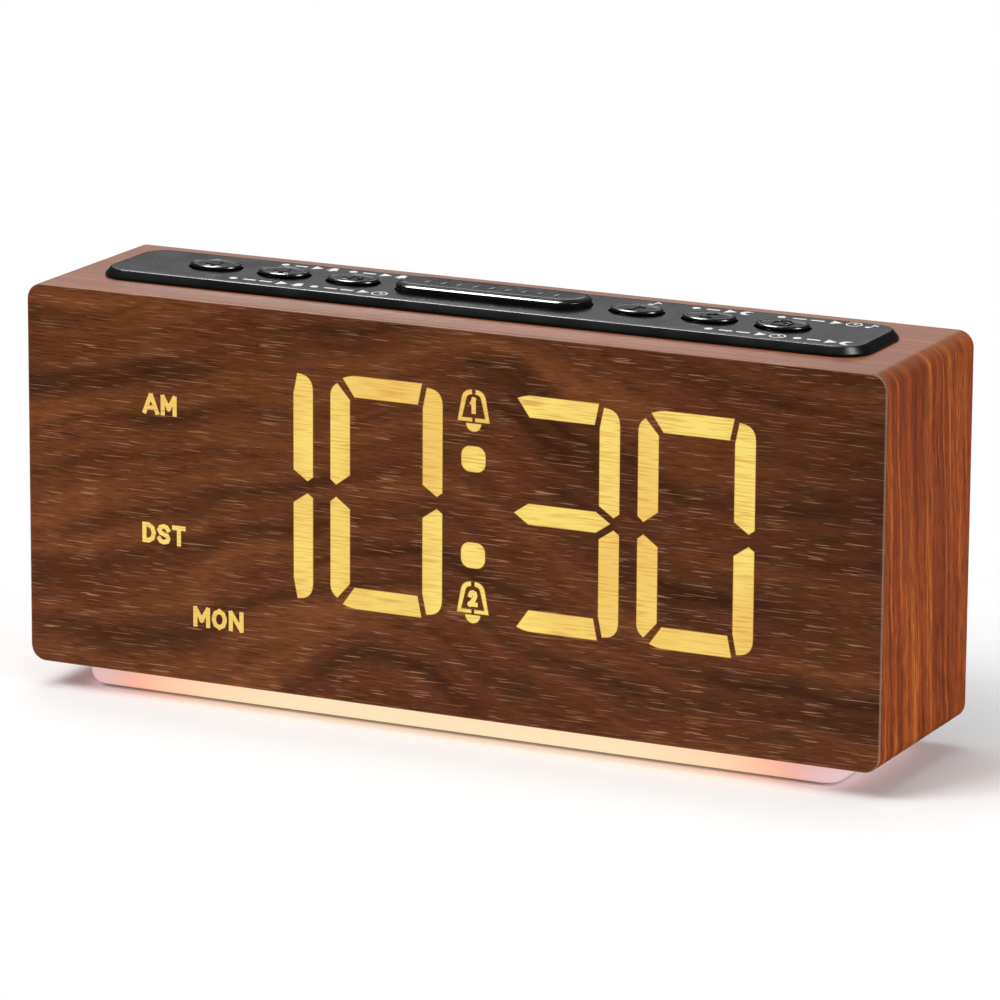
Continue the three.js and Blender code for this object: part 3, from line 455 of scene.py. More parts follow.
def add_node(
    tree: bpy.types.NodeTree,
    kind: str,
    settings: dict[str | int, Any] | None = None,
    links: dict[str | int, Any] | None = None,
) -> bpy.types.Node:
    """Adds a node to a material.

    Args:
        tree: The material's nodes.
        kind: Blender's name for the kind of node.
        settings: Values of its properties and sockets, and for a ramp its stops.
        links: For each socket, the output that feeds it.

    Returns:
        The new node.
    """
    node = tree.nodes.new(kind)
    for key, value in (settings or {}).items():
        if key == "stops":
            ramp = node.color_ramp
            while len(ramp.elements) < len(value):
                ramp.elements.new(1.0)
            for element, (place, colour) in zip(ramp.elements, value):
                element.position = place
                element.color = colour
        elif isinstance(key, str) and hasattr(node, key):
            setattr(node, key, value)
        else:
            socket(node.inputs, key).default_value = value
    for key, output in (links or {}).items():
        tree.links.new(output, socket(node.inputs, key))
    return node


def computed(tree: bpy.types.NodeTree, operation: str, *terms: Any, clamp: bool = False) -> Any:
    """Computes with numbers and sockets.

    Args:
        tree: The nodes of the material or the world.
        operation: Blender's name for the operation.
        terms: Its terms in order, each a number or a socket.
        clamp: Whether the result is kept between zero and one.

    Returns:
        The result's socket.
    """
    fed = {i: term for i, term in enumerate(terms) if isinstance(term, bpy.types.NodeSocket)}
    plain = {i: term for i, term in enumerate(terms) if i not in fed}
    settings = {"operation": operation, "use_clamp": clamp, **plain}
    return add_node(tree, "ShaderNodeMath", settings, fed).outputs["Value"]


def scaled(tree: bpy.types.NodeTree, vector: Any, factor: Any) -> Any:
    """Multiplies a vector's or a colour's socket by a number or by another socket."""
    settings: dict[str | int, Any] = {"operation": "SCALE"}
    links: dict[str | int, Any] = {0: vector}
    (links if isinstance(factor, bpy.types.NodeSocket) else settings)["Scale"] = factor
    return add_node(tree, "ShaderNodeVectorMath", settings, links).outputs["Vector"]


def remapped(
    tree: bpy.types.NodeTree,
    value: Any,
    start: float,
    end: float,
    low: float = 0.0,
    high: float = 1.0,
) -> Any:
    """Stretches a span of a value over another one, and holds it beyond the ends.

    Args:
        tree: The nodes of the material or the world.
        value: The value's socket.
        start: Where the span starts.
        end: Where it ends.
        low: What the start becomes.
        high: What the end becomes.

    Returns:
        The new value's socket.
    """
    settings = {"From Min": start, "From Max": end, "To Min": low, "To Max": high}
    return add_node(tree, "ShaderNodeMapRange", settings, {"Value": value}).outputs["Result"]


def ramp(tree: bpy.types.NodeTree, share: Any, *stops: tuple[float, str]) -> Any:
    """Turns a share into a colour.

    Args:
        tree: The material's nodes.
        share: The share's socket.
        stops: Places along the ramp, each with its sRGB hex colour.

    Returns:
        The colour's socket.
    """
    placed = [(place, linear(colour)) for place, colour in stops]
    return add_node(tree, "ShaderNodeValToRGB", {"stops": placed}, {"Fac": share}).outputs["Color"]


def split(tree: bpy.types.NodeTree, vector: Any) -> tuple[Any, Any, Any]:
    """The sockets of a vector's X, Y and Z."""
    parts = add_node(tree, "ShaderNodeSeparateXYZ", links={"Vector": vector}).outputs
    return parts["X"], parts["Y"], parts["Z"]


@dataclass(frozen=True)
class Finish:
    """What every finish shares: a name and the shader's plain values."""

    name: str
    colour: str = "#808080"
    roughness: float = 0.5
    ior: float = 1.5
    metallic: float = 0.0
    specular: float = 0.5

    def material(self) -> bpy.types.Material:
        """Makes the material the first time it is asked for.

        Returns:
            The material.
        """
        title = f"{self.name}_finish"
        found = bpy.data.materials.get(title)
        if found is not None:
            return found
        made = bpy.data.materials.new(title)
        made.use_nodes = True
        tree = made.node_tree
        tree.nodes.clear()
        plain = {
            "Base Color": linear(self.colour),
            "Roughness": self.roughness,
            "IOR": self.ior,
            "Metallic": self.metallic,
            "Specular IOR Level": self.specular,
        }
        shader = add_node(tree, "ShaderNodeBsdfPrincipled", plain)
        add_node(tree, "ShaderNodeOutputMaterial", links={"Surface": shader.outputs["BSDF"]})
        place = add_node(tree, "ShaderNodeTexCoord").outputs["Object"]
        self.dress(tree, shader, scaled(tree, place, 1 / MM))
        return made

    def dress(self, tree: bpy.types.NodeTree, shader: bpy.types.Node, place: Any) -> None:
        """Adds the finish's own pattern.

        Args:
            tree: The material's nodes.
            shader: Its shader.
            place: The point on the piece, in millimetres.
        """

    @staticmethod
    def cells(
        tree: bpy.types.NodeTree,
        place: Any,
        size: Triple,
        detail: float = 2.0,
        roughness: float = 0.5,
    ) -> Any:
        """A soft random pattern whose cells measure so much each way.

        Args:
            tree: The material's nodes.
            place: The point on the piece, in millimetres.
            size: Size of a cell along X, Y and Z, in millimetres.
            detail: Finer layers on top of the first one.
            roughness: How strong the finer layers are.

        Returns:
            The socket with the pattern, about 0.25 to 0.75.
        """
        scale = tuple(1 / side for side in size)
        fitted = add_node(tree, "ShaderNodeMapping", {"Scale": scale}, {"Vector": place})
        settings = {"Scale": 1.0, "Detail": detail, "Roughness": roughness}
        noise = add_node(tree, "ShaderNodeTexNoise", settings, {"Vector": fitted.outputs["Vector"]})
        return noise.outputs["Fac"]

    @staticmethod
    def relief(tree: bpy.types.NodeTree, shader: bpy.types.Node, height: Any, depth: float) -> None:
        """Raises and sinks the surface by a pattern.

        Args:
            tree: The material's nodes.
            shader: The shader that feels the relief.
            height: The pattern.
            depth: How deep it goes, in millimetres.
        """
        felt = {"Strength": 1.0, "Distance": depth * MM}
        bump = add_node(tree, "ShaderNodeBump", felt, {"Height": height})
        tree.links.new(bump.outputs["Normal"], shader.inputs["Normal"])


@dataclass(frozen=True)
class Wood(Finish):
    """Steps that all the woods share: shading along the grain, open pores and a paler rim."""

    pore_colour: str = "#bf8f68"
    pore_share: float = 0.7
    emboss: float = 0.02
    grain_roughness: float = 0.62
    patch_stretch: Point = (1.6, 9.0)
    patch_depth: float = 30.0

    def varied(
        self,
        tree: bpy.types.NodeTree,
        place: Any,
        size: Triple,
        low: float,
        high: float,
        detail: float = 2.0,
    ) -> Any:
        """A factor that wanders along the grain.

        Args:
            tree: The material's nodes.
            place: The point on the piece, in millimetres.
            size: Size of the pattern's cells, the longest along the grain.
            low: The factor in the darkest cells.
            high: The factor in the lightest.
            detail: Finer layers on top of the first one.

        Returns:
            The factor's socket.
        """
        pattern = self.cells(tree, place, size, detail, self.grain_roughness)
        return remapped(tree, pattern, NOISE_DARK, NOISE_LIGHT, low, high)

    @staticmethod
    def toned(tree: bpy.types.NodeTree, colour: Any, factors: Sequence[Any]) -> Any:
        """Multiplies a colour by each factor in turn."""
        for factor in factors:
            colour = scaled(tree, colour, factor)
        return colour

    @staticmethod
    def mixed(tree: bpy.types.NodeTree, share: Any, first: Any, second: str) -> Any:
        """Lays a plain colour over another one where a mask says so."""
        links = {"Fac": share, "Color1": first}
        settings = {"Color2": linear(second)}
        return add_node(tree, "ShaderNodeMixRGB", settings, links).outputs["Color"]

    @staticmethod
    def rim_share(tree: bpy.types.NodeTree) -> Any:
        """How far the place on the piece belongs to its rim, as a socket."""
        return add_node(tree, "ShaderNodeAttribute", {"attribute_name": RIM}).outputs["Fac"]

    def dashes(
        self,
        tree: bpy.types.NodeTree,
        place: Any,
        size: Triple,
        start: float,
        full: float,
        strength: float,
    ) -> Any:
        """Short dashes along the grain, gathered in loose patches.

        Args:
            tree: The material's nodes.
            place: The point on the piece, in millimetres.
            size: Size of the pattern's cells, the longest along the grain.
            start: Where in the pattern a dash begins.
            full: Where it is at its fullest.
            strength: Its mask at the fullest.

        Returns:
            The mask's socket.
        """
        raw = self.cells(tree, place, size, 1.0, 0.5)
        cut = remapped(tree, raw, start, full, 0.0, strength)
        wider, higher = self.patch_stretch
        patch = (size[0] * wider, self.patch_depth, size[2] * higher)
        where = self.varied(tree, place, patch, 0.25, 1.0)
        return computed(tree, "MULTIPLY", cut, where, clamp=True)


@dataclass(frozen=True)
class WalnutVeneer(Wood):
    """Crown-cut American walnut veneer, sanded and sealed satin.

    The knife leaves open pores: short pale dashes along the grain over dark, cloudy arches.
    """

    name: str = "walnut_veneer"
    roughness: float = 0.5
    specular: float = 0.2
    deep: str = "#48230e"
    dark: str = "#5b3015"
    mid: str = "#6c3a1c"
    light: str = "#7f4622"
    # Colour of the cut edge: partly its lighter core, partly a painted highlight along the bevel
    edge: str = "#bd957a"
    streak: str = "#24140b"
    crown_x: float = -8.0
    crown_width: float = 52.0
    crown_height: float = 30.0
    drift_scale: float = 0.016
    drift_reach: Triple = (40.0, 0.0, 26.0)
    figure_cell: Triple = (80.0, 30.0, 7.0)
    cloud_cell: Triple = (60.0, 40.0, 14.0)
    fibre_cell: Triple = (3.6, 3.0, 0.4)
    dash_cell: Triple = (9.0, 3.0, 0.3)
    streak_shift: Triple = (113.0, 57.0, 71.0)
    half_width: float = 100.0
    left_tone: float = 1.12
    right_tone: float = 0.82

    def figure(self, tree: bpy.types.NodeTree, place: Any) -> Any:
        """The arched, cloudy figure of a crown-cut leaf.

        Args:
            tree: The material's nodes.
            place: The point on the face, in millimetres.

        Returns:
            The socket with the figure's shade.
        """
        drifting = {"Scale": self.drift_scale, "Detail": 2.0, "Roughness": 0.5}
        drift = add_node(tree, "ShaderNodeTexNoise", drifting, {"Vector": place})
        centring = {"operation": "SUBTRACT", 1: (0.5, 0.5, 0.5)}
        centred = add_node(tree, "ShaderNodeVectorMath", centring, {0: drift.outputs["Color"]})
        swaying = {"operation": "MULTIPLY_ADD", 1: self.drift_reach}
        links = {0: centred.outputs["Vector"], 2: place}
        swayed = add_node(tree, "ShaderNodeVectorMath", swaying, links)
        across, _, height = split(tree, swayed.outputs["Vector"])
        width = self.crown_width
        offset = computed(tree, "MULTIPLY_ADD", across, 1 / width, -self.crown_x / width)
        spread = computed(tree, "MULTIPLY_ADD", offset, offset, 1.0)
        lift = computed(tree, "DIVIDE", self.crown_height, spread)
        level = computed(tree, "SUBTRACT", height, lift)
        arched = add_node(tree, "ShaderNodeCombineXYZ", links={"X": across, "Z": level})
        return self.cells(tree, arched.outputs["Vector"], self.figure_cell, 2.5, 0.5)

    def dress(self, tree: bpy.types.NodeTree, shader: bpy.types.Node, place: Any) -> None:
        """Lays figure, clouds, fibres, dark streaks, pores and the cut edge over each other."""
        figure = self.figure(tree, place)
        tones = zip((0.3, 0.42, 0.53, 0.68), (self.deep, self.dark, self.mid, self.light))
        body = ramp(tree, figure, *tones)
        across, reach = split(tree, place)[0], self.half_width
        # Lighter towards the face's left end and darker towards its right end
        left_to_right_tone = remapped(tree, across, -reach, reach, self.left_tone, self.right_tone)
        fibres = self.varied(tree, place, self.fibre_cell, 0.74, 1.26, 2.0)
        clouds = self.varied(tree, place, self.cloud_cell, 0.84, 1.16)
        ground = self.toned(tree, body, [left_to_right_tone, clouds, fibres])
        shifted = self.shifted(tree, place)
        streaks = self.dashes(tree, shifted, self.dash_cell, 0.58, 0.62, 0.6)
        pores = self.dashes(tree, place, self.dash_cell, 0.63, 0.66, self.pore_share)
        streaked = self.mixed(tree, streaks, ground, self.streak)
        pored = self.mixed(tree, pores, streaked, self.pore_colour)
        # The pale rim: partly the cut edge's lighter core, partly a painted highlight
        finished = self.mixed(tree, self.rim_share(tree), pored, self.edge)
        tree.links.new(finished, shader.inputs["Base Color"])
        self.relief(tree, shader, fibres, self.emboss)

    def shifted(self, tree: bpy.types.NodeTree, place: Any) -> Any:
        """The same place a little further on, so that two patterns don't coincide."""
        settings = {"operation": "ADD", 1: self.streak_shift}
        return add_node(tree, "ShaderNodeVectorMath", settings, {0: place}).outputs["Vector"]


@dataclass(frozen=True)
class WoodWrap(Wood):
    """Printed wood-grain wrap over fibreboard, embossed and satin.

    It runs round the case in one strip, so its streaks climb the sides and cross the top, where a
    painted sheen, a paler and duller brown, calms the print. The board's cut edge at the back is
    stained one even brown.
    """

    name: str = "wood_wrap"
    roughness: float = 0.42
    deep: str = "#742d0a"
    dark: str = "#8c3c0e"
    mid: str = "#a54b14"
    light: str = "#c26a26"
    pore_colour: str = "#561f08"
    board: str = "#6b3a1c"
    # A paler, duller brown painted on the top as a sheen, and its share where the top faces
    # straight up
    top_sheen_colour: str = "#84532f"
    top_sheen_share: float = 0.6
    slant: float = 0.09
    sway: float = 4.0
    drift_cell: Triple = (40.0, 30.0, 26.0)
    band_cell: Triple = (80.0, 2.3, 80.0)
    line_cell: Triple = (30.0, 0.6, 30.0)
    fibre_cell: Triple = (3.0, 0.5, 3.0)
    pore_cell: Triple = (7.0, 0.9, 7.0)

    def dress(self, tree: bpy.types.NodeTree, shader: bpy.types.Node, place: Any) -> None:
        """Lays bands, wavy light and dark lines, and fibres along the strip."""
        drift = self.cells(tree, place, self.drift_cell, 2.0)
        across, depth, height = split(tree, place)
        leaning = computed(tree, "MULTIPLY_ADD", height, self.slant, depth)
        swayed = computed(tree, "MULTIPLY_ADD", drift, self.sway, leaning)
        links = {"X": across, "Y": swayed, "Z": height}
        along = add_node(tree, "ShaderNodeCombineXYZ", links=links).outputs["Vector"]
        bands = self.cells(tree, along, self.band_cell, 4.0, 0.7)
        tones = zip((0.34, 0.44, 0.54, 0.66), (self.deep, self.dark, self.mid, self.light))
        body = ramp(tree, bands, *tones)
        lines = self.varied(tree, along, self.line_cell, 0.7, 1.3)
        fibres = self.varied(tree, along, self.fibre_cell, 0.76, 1.24, 1.0)
        ground = self.toned(tree, body, [lines, fibres])
        pores = self.dashes(tree, along, self.pore_cell, 0.6, 0.64, 0.5)
        printed = self.mixed(tree, pores, ground, self.pore_colour)
        # Painted sheen: where the surface faces up, a paler brown is mixed over the print
        normal = add_node(tree, "ShaderNodeNewGeometry").outputs["Normal"]
        _, rearward, upward = split(tree, normal)
        top_sheen_share = remapped(tree, upward, 0.3, 1.0, 0.0, self.top_sheen_share)
        top_sheened = self.mixed(tree, top_sheen_share, printed, self.top_sheen_colour)
        finished = self.mixed(tree, remapped(tree, rearward, 0.7, 0.9), top_sheened, self.board)
        tree.links.new(finished, shader.inputs["Base Color"])
        self.relief(tree, shader, fibres, self.emboss)


@dataclass(frozen=True)
class LitVeneer(Wood):
    """The same walnut veneer where a lamp cell shines through it.

    The light turns the leaf honey yellow. Its fibres stay as fine lines, and it reddens at the
    cell's edge.
    """

    name: str = "lit_veneer"
    colour: str = "#2a180c"
    roughness: float = 0.5
    specular: float = 0.2
    core: str = "#f9dc74"
    dim: str = "#f2c868"
    fibre: str = "#d69c49"
    edge: str = "#7a3a10"
    glow_cell: Triple = (24.0, 10.0, 30.0)
    fibre_cell: Triple = (8.0, 3.0, 0.4)

    def dress(self, tree: bpy.types.NodeTree, shader: bpy.types.Node, place: Any) -> None:
        """Lights the leaf, a little unevenly, with fibres and a dim rim."""
        uneven = self.cells(tree, place, self.glow_cell, 1.0)
        glow = ramp(tree, uneven, (0.4, self.dim), (0.6, self.core))
        fibres = self.dashes(tree, place, self.fibre_cell, 0.5, 0.6, 0.75)
        grained = self.mixed(tree, fibres, glow, self.fibre)
        lit = self.mixed(tree, self.rim_share(tree), grained, self.edge)
        tree.links.new(lit, shader.inputs["Emission Color"])
        shader.inputs["Emission Strength"].default_value = 1.0


@dataclass(frozen=True)
class MilkyDiffuser(Finish):
    """Opal acrylic, moulded, lit by the lamps inside it.

    It glows cream where the lamps are, peach past the last one and mauve at its ends.
    """

    name: str = "opal_acrylic"
    colour: str = "#8a7a70"
    roughness: float = 0.3
    ior: float = 1.49
    half_length: float = 90.0
    # Heights, in millimetres, where the painted contact shadow gives way to the glow, and the
    # glow's share in it
    contact_shadow_span: Point = (0.5, 0.8)
    contact_shadow_dim: float = 0.15
    strength: float = 0.9

    def dress(self, tree: bpy.types.NodeTree, shader: bpy.types.Node, place: Any) -> None:
        """Fades the light along the tray, and paints a contact shadow along its bottom edge."""
        across, _, height = split(tree, place)
        share = computed(tree, "DIVIDE", computed(tree, "ABSOLUTE", across), self.half_length)
        glow = ramp(
            tree,
            share,
            (0.45, "#fddcb2"),
            (0.66, "#fbd0a8"),
            (0.78, "#fabb9a"),
            (0.86, "#ecaa93"),
            (0.93, "#dfb2b0"),
            (1.0, "#dcb6c2"),
        )
        # Painted contact shadow: the glow is darkened along the tray's bottom edge
        contact_shadowed = scaled(tree, glow, remapped(tree, height, *self.contact_shadow_span, self.contact_shadow_dim))
        tree.links.new(contact_shadowed, shader.inputs["Emission Color"])
        shader.inputs["Emission Strength"].default_value = self.strength


@dataclass(frozen=True)
class MouldedPlastic(Finish):
    """Injection-moulded plastic: the tool's fine texture breaks up its shine."""

    texture: float = 0.25
    depth: float = 0.006
    lighter: str = "#404040"
    cloud: float = 9.0
    wear: float = 0.15

    def dress(self, tree: bpy.types.NodeTree, shader: bpy.types.Node, place: Any) -> None:
        """Adds the texture of the mould and a faint cloudiness of colour."""
        grain = self.cells(tree, place, (self.texture,) * 3, 2.0)
        clouds = self.cells(tree, place, (self.cloud,) * 3, 3.0)
        toned = ramp(tree, clouds, (0.35, self.colour), (0.75, self.lighter))
        tree.links.new(toned, shader.inputs["Base Color"])
        shine = (self.roughness * (1 - self.wear), self.roughness * (1 + self.wear))
        worn = remapped(tree, clouds, NOISE_DARK, NOISE_LIGHT, *shine)
        tree.links.new(worn, shader.inputs["Roughness"])
        self.relief(tree, shader, grain, self.depth)


@dataclass(frozen=True)
class ZincSteel(Finish):
    """Zinc-plated steel, pressed or turned: a soft grey shine with fine tool marks."""

    colour: str = "#b4b6ba"
    roughness: float = 0.32
    metallic: float = 1.0

    def dress(self, tree: bpy.types.NodeTree, shader: bpy.types.Node, place: Any) -> None:
        """Adds tool marks and a patchy passivation."""
        marks = self.cells(tree, place, (0.3, 0.3, 0.3), 3.0, 0.7)
        patches = self.cells(tree, place, (3.0, 3.0, 3.0), 2.0)
        toned = ramp(tree, patches, (0.35, "#9fa2a6"), (0.65, self.colour))
        tree.links.new(toned, shader.inputs["Base Color"])
        self.relief(tree, shader, marks, 0.01)


@dataclass(frozen=True)
class SolderMask(Finish):
    """Green solder mask on glass-fibre board: glossy lacquer over a faint copper pattern."""

    name: str = "solder_mask"
    colour: str = "#14502f"
    roughness: float = 0.3

    def dress(self, tree: bpy.types.NodeTree, shader: bpy.types.Node, place: Any) -> None:
        """Adds the copper areas that show through the lacquer."""
        areas = add_node(tree, "ShaderNodeTexVoronoi", {"Scale": 0.22}, {"Vector": place})
        toned = ramp(tree, areas.outputs["Distance"], (0.3, "#1c6b40"), (0.36, self.colour))
        tree.links.new(toned, shader.inputs["Base Color"])


@dataclass(frozen=True)
class WhitePrint(Finish):
    """Pad-printed white ink: a flat, slightly uneven film."""

    name: str = "white_print"
    colour: str = "#eef0f0"
    roughness: float = 0.55

    def dress(self, tree: bpy.types.NodeTree, shader: bpy.types.Node, place: Any) -> None:
        """Thins the ink here and there."""
        film = self.cells(tree, place, (0.5, 0.5, 0.5), 2.0)
        toned = ramp(tree, film, (0.3, "#c9cccc"), (0.5, self.colour))
        tree.links.new(toned, shader.inputs["Base Color"])


VENEER = WalnutVeneer()
WRAP = WoodWrap()
LIT = LitVeneer()
OPAL = MilkyDiffuser()
MASK = SolderMask()
PRINT = WhitePrint()
# Satin ABS with a fine spark-eroded texture: a soft sheen that pales towards the horizon
PANEL_ABS = MouldedPlastic(
    "panel_abs", "#070808", 0.28, specular=0.25, texture=0.2, depth=0.0015, lighter="#0a0b0b"
)
# Polished ABS: sharp reflections on near-black
GLOSS_ABS = MouldedPlastic(
    "gloss_abs", "#070808", 0.2, texture=0.6, depth=0.0008, lighter="#101112"
)
# Textured ABS of the rear cover: dull, with the grain of the tool
REAR_ABS = MouldedPlastic("rear_abs", "#17181a", 0.48, texture=0.35, depth=0.02, lighter="#212325")
# Moulded white polystyrene of the light cells
WHITE_STYRENE = MouldedPlastic(
    "white_styrene", "#e4e1da", 0.5, texture=0.5, depth=0.01, lighter="#efece6"
)
# Soft PVC of the leads and the flat cables
RED_PVC = MouldedPlastic("lead_pvc", "#8f2119", 0.5, texture=0.4, depth=0.01, lighter="#a52b22")
GREY_PVC = MouldedPlastic("ribbon_pvc", "#9f9f9b", 0.6, texture=0.4, depth=0.01, lighter="#b4b4b0")
# Moulded rubber: matt, with a bloom that lightens it in patches
FOOT_RUBBER = MouldedPlastic(
    "foot_rubber", "#1d1e20", 0.85, texture=0.3, depth=0.02, lighter="#2e3033"
)
# Pressed paper of the speaker's cone, behind its grille
CONE_PAPER = MouldedPlastic(
    "cone_paper", "#232220", 0.8, texture=0.7, depth=0.05, lighter="#34322f"
)
PLATED_STEEL = ZincSteel("plated_steel")
TINNED_STEEL = ZincSteel("tinned_steel", "#a4a6a8", 0.4)

SLOT_FINISHES: dict[Slot, Finish] = {
    Slot.WRAP: WRAP,
    Slot.VENEER: VENEER,
    Slot.GLOW: LIT,
    Slot.WHITE: WHITE_STYRENE,
    Slot.BOARD: MASK,
    Slot.STEEL: PLATED_STEEL,
    Slot.BLACK: REAR_ABS,
    Slot.PANEL: PANEL_ABS,
    Slot.GLOSS: GLOSS_ABS,
    Slot.SPEAKER: CONE_PAPER,
    Slot.SWITCH: TINNED_STEEL,
    Slot.RIBBON: GREY_PVC,
    Slot.LEAD: RED_PVC,
    Slot.MILKY: OPAL,
    Slot.RUBBER: FOOT_RUBBER,
}


def fitted(
    piece: bpy.types.Object,
    body: str,
    slot: Slot,
    nodes: Sequence[str] = (),
    finish: Finish | None = None,
) -> bpy.types.Object:
    """Finishes a piece and hands it to the frame.

    Args:
        piece: The piece, in its place at rest.
        body: The CAD body that it rides on.
        slot: The record's material slot that it belongs to.
        nodes: The CAD nodes that it stands for.
        finish: Its finish, where it isn't the slot's own.

    Returns:
        The piece.
    """
    piece.data.materials.clear()
    piece.data.materials.append((finish or SLOT_FINISHES[slot]).material())
    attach(piece, body)
    if nodes:
        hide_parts(*nodes)
    log.info("%s: %d faces on %s", piece.name, len(piece.data.polygons), body)
    return piece


# Sub-assemblies


@dataclass
class Cabinet:
    """The wrapped case and its veneer face."""

    corner: float = 3.5
    wall: float = 5.0
    inner_corner: float = 2.0
    face_bevel: float = 0.25
    face_recess: float = 0.02
    rear_round: float = 0.5
    opening_length: float = 166.0
    opening_depth: float = 19.0
    opening_corner: float = 3.0

    def __post_init__(self) -> None:
        """Takes the boxes of both CAD nodes."""
        self.shell = Extent.of("cabinet_shell")
        self.veneer = Extent.of("front_veneer")
        self.centre = (self.shell.middle.x, self.shell.middle.z)

    def outer(self, inset: float) -> Outline:
        """The case's outline, drawn in by an inset."""
        width, height = self.shell.size.x - 2 * inset, self.shell.size.z - 2 * inset
        return rounded_rectangle(width, height, self.corner - inset, self.centre, 16)

    def build_shell(self) -> bpy.types.Object:
        """The tube of the case, eased at the back and cut open under the panel.

        Returns:
            The piece.
        """
        front, back = self.shell.low.y, self.shell.high.y
        width, height = self.shell.size.x - 2 * self.wall, self.shell.size.z - 2 * self.wall
        inner = rounded_rectangle(width, height, self.inner_corner, self.centre, 16)
        soft = 2 * self.rear_round
        ease = contour((0, back - soft, 0), (0, back, self.rear_round), (soft, back, 0))
        rings = [Ring(inner, front), Ring(self.outer(0), front)]
        rings += [Ring(self.outer(inset), level) for inset, level in ease]
        rings.append(Ring(inner, back))
        shell = skin("case_wrap", Plane.FACE, rings, closed=True)
        opening = rounded_rectangle(self.opening_length, self.opening_depth, self.opening_corner)
        top = self.shell.high.z
        cutter = prism("opening_cutter", Plane.FLOOR, opening, top - 2 * self.wall, top + self.wall)
        return fitted(carved(shell, [cutter]), "case", Slot.WRAP, ["cabinet_shell"])

    def build_face(self) -> bpy.types.Object:
        """The veneer face with its small bevel, whose cut edge is paler than the leaf: partly its
        lighter core, partly a painted highlight.

        Returns:
            The piece.
        """
        front, back = self.veneer.low.y + self.face_recess, self.veneer.high.y
        bevel = self.face_bevel
        rings = [
            Ring(self.outer(0), back, 0.2),
            Ring(self.outer(0), front + bevel, 0.45),
            Ring(self.outer(0.3 * bevel), front + 0.3 * bevel, 0.45),
            Ring(self.outer(bevel), front, 0.1),
            Ring(self.outer(1.4 * bevel), front, 0.0),
        ]
        return fitted(skin("face_leaf", Plane.FACE, rings), "case", Slot.VENEER, ["front_veneer"])

    def build(self) -> None:
        """Builds both pieces."""
        self.build_shell()
        self.build_face()


